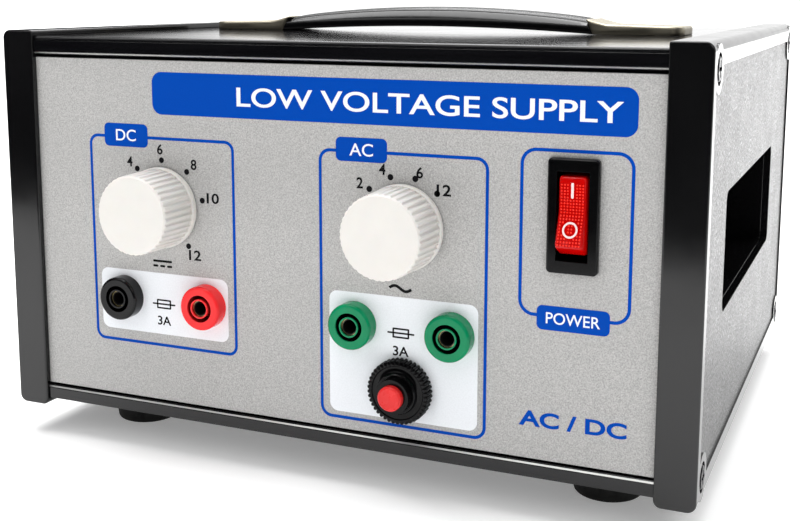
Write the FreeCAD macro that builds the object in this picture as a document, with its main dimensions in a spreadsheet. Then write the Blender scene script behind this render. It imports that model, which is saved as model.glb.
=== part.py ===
"""Bench power supply: a parametric assembly of separate parts.

Units are millimetres. +Z is up, +X is to the right of someone facing the front panel, and the front
faces -Y. The origin is the centre of the overall box, on the surface that the feet stand on.
Most places are given as a depth behind the front faces of the side frames and a height above their
undersides, which is how the case is laid out; place() turns these into the frame above.
"""
import FreeCAD, Part
import math
import os
import re
import Sketcher

SIZES = {
    # case
    "frameWide": 222.0,
    "frameDeep": 199.0,
    "frameTall": 123.0,
    "frameFace": 11.4,
    "frameWall": 3.0,
    "postDeep": 9.0,
    "edgeRound": 0.6,
    "footDrop": 10.0,
    "knobProud": 14.4,
    "rearProud": 1.0,
    "slotDeep": 3.2,
    "slideGap": 0.1,
    "screwDepth": 8.5,
    "screwHeight": 7.2,
    "panelInset": 2.0,
    "panelThick": 2.0,
    "panelLow": 7.6,
    "panelHigh": 114.5,
    "coverThick": 1.2,
    "coverTop": 121.2,
    "coverLow": 2.5,
    "coverStart": 13.0,
    "barInset": 1.0,
    "barTall": 3.5,
    "lipTall": 0.8,
    "topBarDrop": 0.7,
    # hand openings
    "handFront": 36.5,
    "handLong": 113.0,
    "handLow": 45.0,
    "handTall": 35.0,
    "handRound": 3.0,
    "recessDeep": 20.0,
    "recessWall": 2.0,
    # feet and screws
    "footAcross": 162.0,
    "footDepth": 30.0,
    "footTopRadius": 12.0,
    "footEndRadius": 10.2,
    "shankRadius": 1.95,
    "holeRadius": 2.15,
    "headRadius": 4.0,
    "headTall": 2.2,
    "seatDeep": 2.0,
    # handle
    "gripHalf": 58.0,
    "gripWide": 23.0,
    "gripEnd": 5.1,
    "gripRise": 2.0,
    "gripTop": 8.8,
    "gripSlant": 2.3,
    "strapWide": 15.0,
    "strapThick": 0.8,
    "strapRise": 3.0,
    "strapHalf": 84.5,
    "handleGap": 0.1,
    "capEnd": 87.5,
    "capLow": 2.9,
    "capWall": 0.6,
    "handleScrew": 72.0,
    # front controls
    "dcColumn": -53.4,
    "acColumn": 26.8,
    "dialHeight": 69.5,
    "socketHeight": 39.9,
    "socketPitch": 30.0,
    "socketRadius": 6.8,
    "socketProud": 4.5,
    "sleeveRadius": 3.0,
    "shroudRadius": 4.2,
    "boreRadius": 2.05,
    "breakerHeight": 22.2,
    "switchX": 76.0,
    "switchHeight": 76.5,
    "knobGap": 0.6,
    "knobRadius": 12.0,
    "knobRim": 12.5,
    "shaftRadius": 3.0,
    "runningGap": 0.04,
    # inside
    "coreX": -42.0,
    "coreDepth": 112.0,
    "boardX": 44.0,
    "boardDepth": 118.0,
    "inletX": -62.0,
    "inletHeight": 62.0,
}

FRONT = "((knobProud - frameDeep - rearProud) / 2)"
PANEL_BACK = "(panelInset + panelThick)"
INNER = "(frameWide / 2 - frameFace)"
FLOOR = "(coverLow + coverThick)"

doc = FreeCAD.newDocument("bench_power_supply")
sheet = doc.addObject("Spreadsheet::Sheet", "sizes")
nodes = []


# ---------------------------------------------------------------- sheet and placement

def fill_sheet():
    for row, (name, value) in enumerate(SIZES.items(), start=1):
        sheet.set(f"A{row}", name)
        sheet.set(f"B{row}", str(value))
        sheet.setAlias(f"B{row}", name)
    doc.recompute()


def cells(formula):
    """A formula written with plain size names, as an expression on the sheet."""
    return re.sub(r"[A-Za-z]\w*", lambda word: f"sizes.{word.group()}"
                  if word.group() in SIZES else word.group(), str(formula))


def value(formula):
    return float(sheet.evalExpression(cells(formula)))


def bind(thing, prop, formula):
    thing.setExpression(prop, cells(formula))


def place(thing, x=0, depth=0, height=0):
    """Puts a part's own origin at x, a depth behind the frames' front and a height over their foot."""
    bind(thing, "Placement.Base.x", x)
    bind(thing, "Placement.Base.y", f"{FRONT} + {depth}")
    bind(thing, "Placement.Base.z", f"footDrop + {height}")
    return thing


def finished(thing, label=None):
    """Marks an object as one of the parts that are written out."""
    if label:
        thing.Label = label
    nodes.append(thing)
    return thing


# ---------------------------------------------------------------- sketches and features

def new_body(label):
    body = doc.addObject("PartDesign::Body", label)
    body.Label = label
    return body


def datum(body, role):
    return next(item for item in body.Origin.OriginFeatures if item.Role == role)


def sketch_on(body, role, offset=0):
    """An empty sketch on one of the body's origin planes, moved along the plane's normal."""
    sketch = body.newObject("Sketcher::SketchObject", f"{body.Label}_sketch")
    sketch.AttachmentSupport = (datum(body, role), [""])
    sketch.MapMode = "FlatFace"
    bind(sketch, "AttachmentOffset.Base.z", offset)
    return sketch


def fix_point(sketch, edge, end, x, y):
    for kind, formula in (("DistanceX", x), ("DistanceY", y)):
        index = sketch.addConstraint(Sketcher.Constraint(kind, -1, 1, edge, end, value(formula)))
        bind(sketch, f"Constraints[{index}]", formula)


def outline(sketch, corners, arcs=None):
    """A closed outline. arcs maps a side's number to how far it bows out to the right of its run."""
    arcs = arcs or {}
    points = [FreeCAD.Vector(value(x), value(y), 0) for x, y in corners]
    first = sketch.GeometryCount
    for side, start in enumerate(points):
        end = points[(side + 1) % len(points)]
        if side in arcs:
            run = end - start
            right = FreeCAD.Vector(run.y, -run.x, 0).normalize()
            crown = (start + end) * 0.5 + right * value(arcs[side])
            ends = (start, crown, end) if value(arcs[side]) > 0 else (end, crown, start)
            sketch.addGeometry(Part.Arc(*ends), False)
        else:
            sketch.addGeometry(Part.LineSegment(start, end), False)
    for side, (x, y) in enumerate(corners):
        previous = first + (side - 1) % len(corners)
        previous_end = end_of(sketch, previous, points[side])
        here = end_of(sketch, first + side, points[side])
        sketch.addConstraint(Sketcher.Constraint("Coincident", previous, previous_end, first + side, here))
        fix_point(sketch, first + side, here, x, y)
    for side, bow in arcs.items():
        half = (points[(side + 1) % len(points)] - points[side]).Length / 2
        rise = abs(value(bow))
        radius = (half ** 2 + rise ** 2) / (2 * rise)
        sketch.addConstraint(Sketcher.Constraint("Radius", first + side, radius))
    return sketch


def end_of(sketch, edge, point):
    """1 or 2: which end of a side lies at a point, since an arc may run the other way round."""
    start_gap = sketch.Geometry[edge].StartPoint.distanceToPoint(point)
    end_gap = sketch.Geometry[edge].EndPoint.distanceToPoint(point)
    return 1 if start_gap <= end_gap else 2


def rectangle(sketch, low_x, low_y, high_x, high_y):
    return outline(sketch, [(low_x, low_y), (high_x, low_y), (high_x, high_y), (low_x, high_y)])


def circle(sketch, x, y, radius):
    centre = FreeCAD.Vector(value(x), value(y), 0)
    edge = sketch.addGeometry(Part.Circle(centre, FreeCAD.Vector(0, 0, 1), value(radius)), False)
    fix_point(sketch, edge, 3, x, y)
    index = sketch.addConstraint(Sketcher.Constraint("Radius", edge, value(radius)))
    bind(sketch, f"Constraints[{index}]", radius)
    return sketch


def pad(body, sketch, length, flip=False):
    feature = body.newObject("PartDesign::Pad", f"{body.Label}_pad")
    feature.Profile = sketch
    bind(feature, "Length", length)
    feature.Reversed = flip
    return feature


def pocket(body, sketch, length=None, flip=False):
    """Cuts a sketch to a length, or right through where none is given, and checks that it cut."""
    doc.recompute()
    before = body.Shape.Volume
    feature = body.newObject("PartDesign::Pocket", f"{body.Label}_pocket")
    feature.Profile = sketch
    feature.Reversed = flip
    if length is None:
        feature.Type = "ThroughAll"
    else:
        bind(feature, "Length", length)
    doc.recompute()
    if body.Shape.Volume >= before:
        raise RuntimeError(f"{feature.Name} cut nothing")
    return feature


def revolve(body, sketch, axis="V_Axis"):
    feature = body.newObject("PartDesign::Revolution", f"{body.Label}_turned")
    feature.Profile = sketch
    feature.ReferenceAxis = (sketch, [axis])
    feature.Angle = 360
    return feature


def turned(label, corners, arcs=None, upright=False):
    """A body turned about its own Y axis (or Z, if upright) from an outline of radius and distance."""
    body = new_body(label)
    sketch = sketch_on(body, "XZ_Plane" if upright else "XY_Plane")
    revolve(body, outline(sketch, corners, arcs))
    return body


def repeat_round(body, feature, axis, count):
    pattern = body.newObject("PartDesign::PolarPattern", f"{body.Label}_pattern")
    pattern.Originals = [feature]
    pattern.Axis = (datum(body, axis), [""])
    pattern.Angle = 360
    pattern.Occurrences = count
    body.Tip = pattern
    return pattern


def dress(body, kind, size, wanted):
    """Fillets or chamfers each edge that wanted() accepts, given the edge's box."""
    doc.recompute()
    base = body.Tip
    edges = [f"Edge{number}" for number, edge in enumerate(base.Shape.Edges, start=1)
             if wanted(edge.BoundBox)]
    feature = body.newObject(f"PartDesign::{kind}", f"{body.Label}_{kind.lower()}")
    feature.Base = (base, edges)
    bind(feature, "Radius" if kind == "Fillet" else "Size", size)
    return feature


def near(first, second):
    return abs(first - second) < 1e-4


# ---------------------------------------------------------------- primitives and groups

def block(label, size, x=0, depth=0, height=0):
    """A box centred on x, starting at a depth and a height."""
    thing = doc.addObject("Part::Box", label)
    for prop, formula in zip(("Length", "Width", "Height"), size):
        bind(thing, prop, formula)
    return place(thing, f"{x} - ({size[0]}) / 2", depth, height)


def rod(label, radius, length, x=0, depth=0, height=0, along="Z"):
    thing = doc.addObject("Part::Cylinder", label)
    bind(thing, "Radius", radius)
    bind(thing, "Height", length)
    turns = {"X": (FreeCAD.Vector(0, 1, 0), 90), "Y": (FreeCAD.Vector(1, 0, 0), -90),
             "Z": (FreeCAD.Vector(0, 0, 1), 0)}
    thing.Placement = FreeCAD.Placement(FreeCAD.Vector(), FreeCAD.Rotation(*turns[along]))
    return place(thing, x, depth, height)


def fuse(label, pieces):
    thing = doc.addObject("Part::MultiFuse", label)
    thing.Shapes = pieces
    return thing


def cut(label, base, tool):
    thing = doc.addObject("Part::Cut", label)
    thing.Base = base
    thing.Tool = tool
    return thing


def group(label, pieces):
    """Identical or closely related pieces that stay separate solids in one node."""
    thing = doc.addObject("Part::Compound", label)
    thing.Links = pieces
    return finished(thing)


# ---------------------------------------------------------------- case

def side_frame():
    """The right moulded frame: a deep rim round a wall, with slots for the panels and covers."""
    body = new_body("right_side_frame")
    rectangle_sketch = rectangle(sketch_on(body, "YZ_Plane"), 0, 0, "frameDeep", "frameTall")
    pad(body, rectangle_sketch, "frameFace")
    top = value("frameTall")
    face = value("frameFace")
    deep = value("frameDeep")
    dress(body, "Fillet", 2.6, lambda box: box.YLength > 100 and near(box.XMin, face)
          and near(box.XMax, face))
    dress(body, "Fillet", 2.2, lambda box: box.YLength > 100 and near(box.XMax, 0) and near(box.ZMax, 0))
    dress(body, "Fillet", 0.8, lambda box: box.YLength > 100 and near(box.XMax, 0) and near(box.ZMin, top))
    dress(body, "Fillet", "edgeRound", lambda box: near(box.YLength, 0)
          and (near(box.YMin, 0) or near(box.YMin, deep)))
    hollow = sketch_on(body, "YZ_Plane")
    rectangle(hollow, "postDeep", "screwHeight - 1.2", "frameDeep - postDeep",
              "frameTall - screwHeight + 1.2")
    pocket(body, hollow, "frameFace - frameWall", flip=True)
    field = sketch_on(body, "YZ_Plane", "frameFace")
    rectangle(field, 4.3, 6.4, "frameDeep - 4.3", "frameTall - 6.4")
    pocket(body, field, 0.6)
    bosses = sketch_on(body, "YZ_Plane")
    for depth in ("screwDepth", "frameDeep - screwDepth"):
        for height in ("screwHeight", "frameTall - screwHeight"):
            circle(bosses, depth, height, 4.2)
    pad(body, bosses, "frameFace - frameWall + 0.5")
    rims = sketch_on(body, "YZ_Plane", "frameFace - 0.8")
    for depth in ("screwDepth", "frameDeep - screwDepth"):
        for height in ("screwHeight", "frameTall - screwHeight"):
            circle(rims, depth, height, 6.6)
    pad(body, rims, 0.8)
    slots = sketch_on(body, "YZ_Plane")
    rear_slot = "frameDeep - panelInset + slideGap"
    rectangle(slots, "panelInset - slideGap", "panelLow - 0.2", f"{PANEL_BACK} + slideGap",
              "panelHigh + 0.2")
    rectangle(slots, f"frameDeep - {PANEL_BACK} - slideGap", "panelLow - 0.2", rear_slot,
              "panelHigh + 0.2")
    rectangle(slots, "barInset", "coverTop - coverThick - slideGap", "frameDeep - barInset",
              "coverTop + slideGap")
    rectangle(slots, "coverStart - slideGap", "coverLow - slideGap", "frameDeep - coverStart + slideGap",
              f"{FLOOR} + slideGap")
    pocket(body, slots, "slotDeep", flip=True)
    openings = sketch_on(body, "YZ_Plane")
    rectangle(openings, "handFront", "handLow", "handFront + handLong", "handLow + handTall")
    for depth in ("screwDepth", "frameDeep - screwDepth"):
        for height in ("screwHeight", "frameTall - screwHeight"):
            circle(openings, depth, height, "holeRadius")
    pocket(body, openings, flip=True)
    seats = sketch_on(body, "YZ_Plane", "frameFace")
    for depth in ("screwDepth", "frameDeep - screwDepth"):
        for height in ("screwHeight", "frameTall - screwHeight"):
            circle(seats, depth, height, "headRadius + 0.3")
    pocket(body, seats, "seatDeep")
    front, back = value("handFront"), value("handFront + handLong")
    dress(body, "Fillet", "handRound", lambda box: near(box.YLength, 0) and near(box.ZLength, 0)
          and box.XLength > 2 and (near(box.YMin, front) or near(box.YMin, back)))
    return place(body, INNER)


def hand_recess():
    """A moulded cup behind the right hand opening, with a flange against the frame's wall."""
    body = new_body("right_hand_recess")
    wall = "recessWall"
    outer = sketch_on(body, "YZ_Plane")
    rectangle(outer, f"handFront - {wall}", f"handLow - {wall}", f"handFront + handLong + {wall}",
              f"handLow + handTall + {wall}")
    pad(body, outer, "recessDeep")
    dress(body, "Fillet", f"handRound + {wall}", lambda box: near(box.YLength, 0)
          and near(box.ZLength, 0))
    flange = sketch_on(body, "YZ_Plane", "recessDeep - recessWall")
    rectangle(flange, "handFront - 7", "handLow - 7", "handFront + handLong + 7",
              "handLow + handTall + 7")
    pad(body, flange, wall)
    inner = sketch_on(body, "YZ_Plane", "recessDeep")
    rectangle(inner, "handFront", "handLow", "handFront + handLong", "handLow + handTall")
    pocket(body, inner, "recessDeep - recessWall")
    front, back = value("handFront"), value("handFront + handLong")
    dress(body, "Fillet", "handRound", lambda box: near(box.YLength, 0) and near(box.ZLength, 0)
          and box.XLength > 10 and (near(box.YMin, front) or near(box.YMin, back)))
    return place(body, "frameWide / 2 - frameWall - recessDeep")


def mirrored(source, label):
    thing = doc.addObject("Part::Mirroring", label)
    thing.Source = source
    thing.Normal = FreeCAD.Vector(1, 0, 0)
    return finished(thing)


def case_sides():
    for source in (side_frame(), hand_recess()):
        finished(source)
        mirrored(source, source.Label.replace("right", "left"))


def rail(label, rear, top):
    """A bar between the frames: a front face, a bevelled lip and a block that takes the end screws."""
    drop = "topBarDrop" if top else "0"
    low = f"coverLow + {drop}"
    shelf = f"{low} + barTall + lipTall"
    ledge = f"{FLOOR} + slideGap"
    corners = [("barInset", low), ("coverStart - 2 * slideGap", low)]
    if not top:
        corners += [("coverStart - 2 * slideGap", ledge), ("coverStart + 5", ledge),
                    ("coverStart + 5", f"{ledge} + 1.5"), ("coverStart - 0.4", f"{ledge} + 1.5")]
    corners += [(corners[-1][0], "screwHeight + 4.2"), (f"{PANEL_BACK} + slideGap", "screwHeight + 4.2"),
                (f"{PANEL_BACK} + slideGap", shelf), ("barInset + lipTall", shelf),
                ("barInset", f"{low} + barTall")]
    body = new_body(label)
    profile = sketch_on(body, "YZ_Plane")

    def turned_round(depth, height):
        depth = f"frameDeep - ({depth})" if rear else depth
        height = f"frameTall - ({height})" if top else height
        return depth, height

    outline(profile, [turned_round(depth, height) for depth, height in corners])
    circle(profile, *turned_round("screwDepth", "screwHeight"), "shankRadius + slideGap")
    pad(body, profile, f"2 * {INNER}")
    return finished(place(body, f"-{INNER}"))


def rails():
    for level in ("top", "bottom"):
        for end in ("front", "rear"):
            rail(f"{level}_{end}_rail", end == "rear", level == "top")


def plate(label, holes):
    """A front or rear panel, seen from the front, with round holes given as x, height and radius."""
    body = new_body(label)
    half = f"{INNER} + slotDeep - 2 * slideGap"
    sheet_outline = sketch_on(body, "XZ_Plane")
    rectangle(sheet_outline, f"-({half})", "panelLow", half, "panelHigh")
    pad(body, sheet_outline, "panelThick", flip=True)
    round_holes = sketch_on(body, "XZ_Plane")
    for x, height, radius in holes:
        circle(round_holes, x, height, radius)
    if holes:
        pocket(body, round_holes)
    return body


def front_panel():
    holes = [("dcColumn", "dialHeight", 4.6), ("acColumn", "dialHeight", 4.6),
             ("acColumn", "breakerHeight", 5.2)]
    for column in ("dcColumn", "acColumn"):
        for side in (-1, 1):
            holes.append((f"{column} + {side} * socketPitch / 2", "socketHeight", 6.1))
    body = plate("front_panel", holes)
    window = sketch_on(body, "XZ_Plane")
    rectangle(window, "switchX - 6.1", "switchHeight - 13.6", "switchX + 6.1", "switchHeight + 13.6")
    pocket(body, window)
    finished(place(body, 0, "panelInset"))


def rear_panel():
    holes = [(f"inletX + {side} * 20", "inletHeight", 1.7) for side in (-1, 1)]
    body = plate("rear_panel", holes)
    window = sketch_on(body, "XZ_Plane")
    rectangle(window, "inletX - 13.8", "inletHeight - 16.1", "inletX + 13.8", "inletHeight + 16.1")
    pocket(body, window)
    finished(place(body, 0, f"frameDeep - {PANEL_BACK}"))


FOOT_PLACES = [(f"{side} * footAcross / 2", depth) for side in (-1, 1)
               for depth in ("footDepth", "frameDeep - footDepth")]
CORE_FEET = [(f"coreX + {x} * 44", f"coreDepth + {y} * 14") for x in (-1, 1) for y in (-1, 1)]
BOARD_FEET = [(f"boardX + {x} * 32", f"boardDepth + {y} * 24") for x in (-1, 1) for y in (-1, 1)]
HANDLE_FEET = [(f"{side} * handleScrew", "frameDeep / 2") for side in (-1, 1)]


def cover(label, start, height, holes, rounded=False):
    body = new_body(label)
    half = f"{INNER} + slotDeep - 2 * slideGap"
    sheet_outline = sketch_on(body, "XY_Plane")
    rectangle(sheet_outline, f"-({half})", start, half, f"frameDeep - ({start})")
    for x, depth, radius in holes:
        circle(sheet_outline, x, depth, radius)
    pad(body, sheet_outline, "coverThick")
    if rounded:
        thick = value("coverThick")
        dress(body, "Fillet", "coverThick - 0.3", lambda box: box.XLength > 100 and near(box.ZMin, thick))
    finished(place(body, 0, 0, height))


def covers():
    cover("top_cover", "barInset + 0.2", "coverTop - coverThick",
          [(x, depth, "holeRadius") for x, depth in HANDLE_FEET], rounded=True)
    floor_holes = [(x, depth, "holeRadius") for x, depth in FOOT_PLACES + CORE_FEET]
    floor_holes += [(x, depth, 1.7) for x, depth in BOARD_FEET]
    cover("bottom_cover", "coverStart", "coverLow", floor_holes)


# ---------------------------------------------------------------- fasteners and feet

def pan_screw(label, length, head_radius="headRadius", head_tall="headTall", shank="shankRadius"):
    """A pan head screw along +Y: its head ends at the origin and its shank runs to +Y."""
    body = turned(label, [(0, f"-({head_tall})"), (f"{head_radius} - 1.0", f"-({head_tall})"),
                          (head_radius, f"-({head_tall}) * 0.4"), (head_radius, 0), (shank, 0),
                          (shank, f"({length}) - 0.6"), (f"{shank} - 0.6", length), (0, length)])
    cross = sketch_on(body, "XZ_Plane", head_tall)
    arm, half = f"({head_radius}) * 0.55", f"({head_radius}) * 0.13"
    outline(cross, [(f"-{arm}", f"-{half}"), (f"-{half}", f"-{half}"), (f"-{half}", f"-{arm}"),
                    (half, f"-{arm}"), (half, f"-{half}"), (arm, f"-{half}"), (arm, half),
                    (half, half), (half, arm), (f"-{half}", arm), (f"-{half}", half),
                    (f"-{arm}", half)])
    pocket(body, cross, f"({head_tall}) * 0.5")
    return body


def aim(thing, x, depth, height, direction):
    """Turns a part built along +Y to run along another direction, and places it."""
    turn = FreeCAD.Rotation(FreeCAD.Vector(0, 1, 0), FreeCAD.Vector(*direction))
    thing.Placement = FreeCAD.Placement(FreeCAD.Vector(), turn)
    return place(thing, x, depth, height)


def frame_screws():
    pieces = []
    for side in (-1, 1):
        for depth in ("screwDepth", "frameDeep - screwDepth"):
            for height in ("screwHeight", "frameTall - screwHeight"):
                screw = pan_screw(f"frame_screw_{len(pieces) + 1}", 22)
                pieces.append(aim(screw, f"{side} * (frameWide / 2 - seatDeep)", depth, height,
                                  (-side, 0, 0)))
    group("frame_screws", pieces)


def feet():
    rise = "(footDrop + coverLow)"
    rubber, screws = [], []
    for x, depth in FOOT_PLACES:
        number = len(rubber) + 1
        foot = turned(f"foot_{number}", [("headRadius + 0.8", 0), ("footEndRadius - 1", 0),
                                         ("footEndRadius", 1), ("footTopRadius - 0.6", f"{rise} - 2.4"),
                                         ("footTopRadius", f"{rise} - 1.8"), ("footTopRadius", rise),
                                         ("holeRadius", rise), ("holeRadius", 6),
                                         ("headRadius + 0.8", 6)], {1: 0.2}, upright=True)
        rubber.append(place(foot, x, depth, "-footDrop"))
        screw = pan_screw(f"foot_screw_{number}", 12)
        screws.append(aim(screw, x, depth, "6 - footDrop", (0, 0, 1)))
    group("rubber_feet", rubber)
    group("foot_screws", screws)


def hex_nut(label, across, tall, bore):
    """A hexagon nut standing on its own XY plane."""
    body = new_body(label)
    profile = sketch_on(body, "XY_Plane")
    corner = across / math.sqrt(3)
    outline(profile, [(corner * math.cos(math.radians(60 * step)), corner * math.sin(math.radians(60 * step)))
                      for step in range(6)])
    circle(profile, 0, 0, bore)
    pad(body, profile, tall)
    return body


def floor_nuts():
    """The M4 nuts on the feet, the transformer and the handle."""
    places = [(x, depth, FLOOR) for x, depth in FOOT_PLACES]
    places += [(x, depth, f"{FLOOR} + 2") for x, depth in CORE_FEET]
    places += [(x, depth, "coverTop - coverThick - 3.2") for x, depth in HANDLE_FEET]
    pieces = []
    for x, depth, height in places:
        nut = hex_nut(f"m4_nut_{len(pieces) + 1}", 7, 3.2, "shankRadius + 0.03")
        pieces.append(place(nut, x, depth, height))
    group("m4_nuts", pieces)


# ---------------------------------------------------------------- handle

def strap_body(label, wide, slots):
    """The steel strap: a shallow bow inside the grip and a flat tongue at each end."""
    body = new_body(label)
    low, high = "handleGap", "handleGap + strapThick"
    profile = sketch_on(body, "XZ_Plane", f"-({wide}) / 2")
    outline(profile, [("-strapHalf", low), ("-gripHalf", low), ("gripHalf", low), ("strapHalf", low),
                      ("strapHalf", high), ("gripHalf", high), ("-gripHalf", high), ("-strapHalf", high)],
            {1: "-strapRise", 5: "strapRise"})
    pad(body, profile, wide)
    if slots:
        holes = sketch_on(body, "XY_Plane")
        for side in (-1, 1):
            inner, outer = "handleScrew - 2.4", "handleScrew + 9"
            low_x, high_x = (f"-({outer})", f"-({inner})") if side < 0 else (inner, outer)
            rectangle(holes, low_x, "-holeRadius - 0.2", high_x, "holeRadius + 0.2")
        pocket(body, holes, flip=True)
    return place(body, 0, "frameDeep / 2", "coverTop")


def handle():
    """The bowed grip, moulded round the strap."""
    body = new_body("grip_outer")
    profile = sketch_on(body, "XZ_Plane", "-gripWide / 2")
    outline(profile, [("-gripHalf", "handleGap"), ("gripHalf", "handleGap"),
                      ("gripHalf - gripSlant", "gripEnd"), ("-(gripHalf - gripSlant)", "gripEnd")],
            {0: "-gripRise", 2: "gripTop - gripEnd"})
    pad(body, profile, "gripWide")
    half = value("gripWide / 2")
    dress(body, "Chamfer", 2.2, lambda box: near(abs(box.YMin), half) and near(box.YLength, 0)
          and box.XLength > 100 and box.ZMax > value("gripEnd + 1"))
    place(body, 0, "frameDeep / 2", "coverTop")
    finished(cut("handle_grip", body, strap_body("strap_channel", "strapWide", False)))
    finished(strap_body("handle_strap", "strapWide - 0.1", True))


def handle_cap():
    """The right end cap: a pressed metal shell over the strap's tongue, open towards the grip."""
    body = new_body("right_handle_cap")
    start = "gripHalf + 0.2"
    flare = "gripHalf + 5.6"
    profile = sketch_on(body, "XZ_Plane", "-gripWide / 2")
    outline(profile, [(start, "handleGap"), ("capEnd", "handleGap"), ("capEnd", "capLow"),
                      (flare, "capLow + 0.5"), (start, "gripEnd - 0.4")], {3: "-0.35"})
    pad(body, profile, "gripWide")
    end = value("capEnd")
    dress(body, "Fillet", 5, lambda box: near(box.XMin, end) and near(box.XLength, 0)
          and near(box.YLength, 0))
    inside = sketch_on(body, "XZ_Plane", "gripWide / 2 - capWall")
    outline(inside, [(f"{start} - 2", 0), ("capEnd - 3", 0), ("capEnd - 3", "capLow - capWall"),
                     (flare, "capLow + 0.5 - capWall"), (f"{start} - 2", "gripEnd - 0.7")])
    pocket(body, inside, "gripWide - 2 * capWall")
    return place(body, 0, "frameDeep / 2", "coverTop")


def handle_caps():
    source = finished(handle_cap())
    mirrored(source, "left_handle_cap")
    screws = []
    for x, depth in HANDLE_FEET:
        screw = pan_screw(f"handle_screw_{len(screws) + 1}", 6, 3.6, 1.2)
        screws.append(aim(screw, x, depth, "coverTop + handleGap + strapThick", (0, 0, -1)))
    group("handle_screws", screws)


# ---------------------------------------------------------------- dials

def knob(label, column):
    """An ivory knob, fluted round its side, with a plain rim at the back and a recess for the nut."""
    length = "(knobProud + panelInset - knobGap)"
    body = turned(label, [("shaftRadius + 0.02", -3.5), (9, -3.5), (9, 0), ("knobRim", 0),
                          ("knobRim", -1.6), ("knobRadius + 0.3", -1.8), ("knobRadius", f"0.6 - {length}"),
                          ("knobRadius - 0.6", f"-{length}"), (0, f"-{length}"), (0, -12.6),
                          ("shaftRadius + 0.02", -12.6)])
    flute = sketch_on(body, "XZ_Plane", f"{length} + 0.1")
    circle(flute, 0, "knobRadius + 0.45", 0.75)
    cutter = pocket(body, flute, f"{length} - 1.9")
    repeat_round(body, cutter, "Y_Axis", 40)
    finished(place(body, column, "panelInset - knobGap", "dialHeight"))


def control(label, column, can_radius, can_long, lugs):
    """A panel control: a threaded bushing in front of a round can with solder lugs on its side."""
    back = f"panelThick + {can_long}"
    bore = "shaftRadius + runningGap"
    can = turned(f"{label}_can", [(bore, -3.4), (4.5, -3.4), (4.5, "panelThick"),
                                  (can_radius, "panelThick"), (can_radius, back), (0, back),
                                  (0, 12.4), (bore, 12.4)])
    place(can, column, "panelInset", "dialHeight")
    pieces = [can]
    for lug in range(lugs):
        pieces.append(block(f"{label}_lug_{lug + 1}", (3, 0.8, 8), f"{column} + {(lug - (lugs - 1) / 2) * 6}",
                            f"{PANEL_BACK} + {can_long} - 3", f"dialHeight - {can_radius} - 6"))
    return finished(fuse(label, pieces))


def shaft(label, column):
    """A control's shaft, from inside the can to inside the knob."""
    body = turned(label, [(0, -12.8), ("shaftRadius - 0.4", -12.8), ("shaftRadius", -12.4),
                          ("shaftRadius", 12.2), (0, 12.2)])
    return finished(place(body, column, "panelInset", "dialHeight"))


def panel_nut(label, column):
    body = hex_nut(label, 13, 2, 4.53)
    body.Placement = FreeCAD.Placement(FreeCAD.Vector(), FreeCAD.Rotation(FreeCAD.Vector(1, 0, 0), 90))
    return finished(place(body, column, "panelInset", "dialHeight"))


def dials():
    knob("dc_knob", "dcColumn")
    shaft("dc_control_shaft", "dcColumn")
    control("dc_voltage_control", "dcColumn", 14, 18, 3)
    panel_nut("dc_control_nut", "dcColumn")
    knob("ac_knob", "acColumn")
    shaft("ac_selector_shaft", "acColumn")
    control("ac_selector_switch", "acColumn", 13, 24, 5)
    panel_nut("ac_selector_nut", "acColumn")


# ---------------------------------------------------------------- sockets

def socket(label, x):
    """A shrouded 4 mm socket: a collar in front of the panel, a shroud gap and an inner sleeve."""
    body = turned(label, [("sleeveRadius - 0.45", "-socketProud"), ("sleeveRadius", "-socketProud"),
                          ("sleeveRadius", 16), ("shroudRadius", 16), ("shroudRadius", "-socketProud"),
                          ("socketRadius - 0.8", "-socketProud"), ("socketRadius", "0.8 - socketProud"),
                          ("socketRadius", 0), (6, 0), (6, 20), ("sleeveRadius - 0.45", 20)],
                  {5: 0.22})
    finished(place(body, x, "panelInset", "socketHeight"))


def sockets():
    columns = {"black_socket": "dcColumn - socketPitch / 2", "red_socket": "dcColumn + socketPitch / 2",
               "left_green_socket": "acColumn - socketPitch / 2",
               "right_green_socket": "acColumn + socketPitch / 2"}
    contacts, nuts = [], []
    for label, x in columns.items():
        socket(label, x)
        contact = turned(f"{label}_contact",
                         [("boreRadius", "1 - socketProud"), ("sleeveRadius - 0.5", "1 - socketProud"),
                          ("sleeveRadius - 0.5", 26), (0, 26), (0, 17.5), ("boreRadius", 17.5)])
        contacts.append(place(contact, x, "panelInset", "socketHeight"))
        nut = hex_nut(f"{label}_nut", 15, 4, 6.05)
        nut.Placement = FreeCAD.Placement(FreeCAD.Vector(), FreeCAD.Rotation(FreeCAD.Vector(1, 0, 0), 90))
        nuts.append(place(nut, x, f"{PANEL_BACK} + 4", "socketHeight"))
    group("socket_contacts", contacts)
    group("socket_nuts", nuts)


# ---------------------------------------------------------------- circuit breaker

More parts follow.
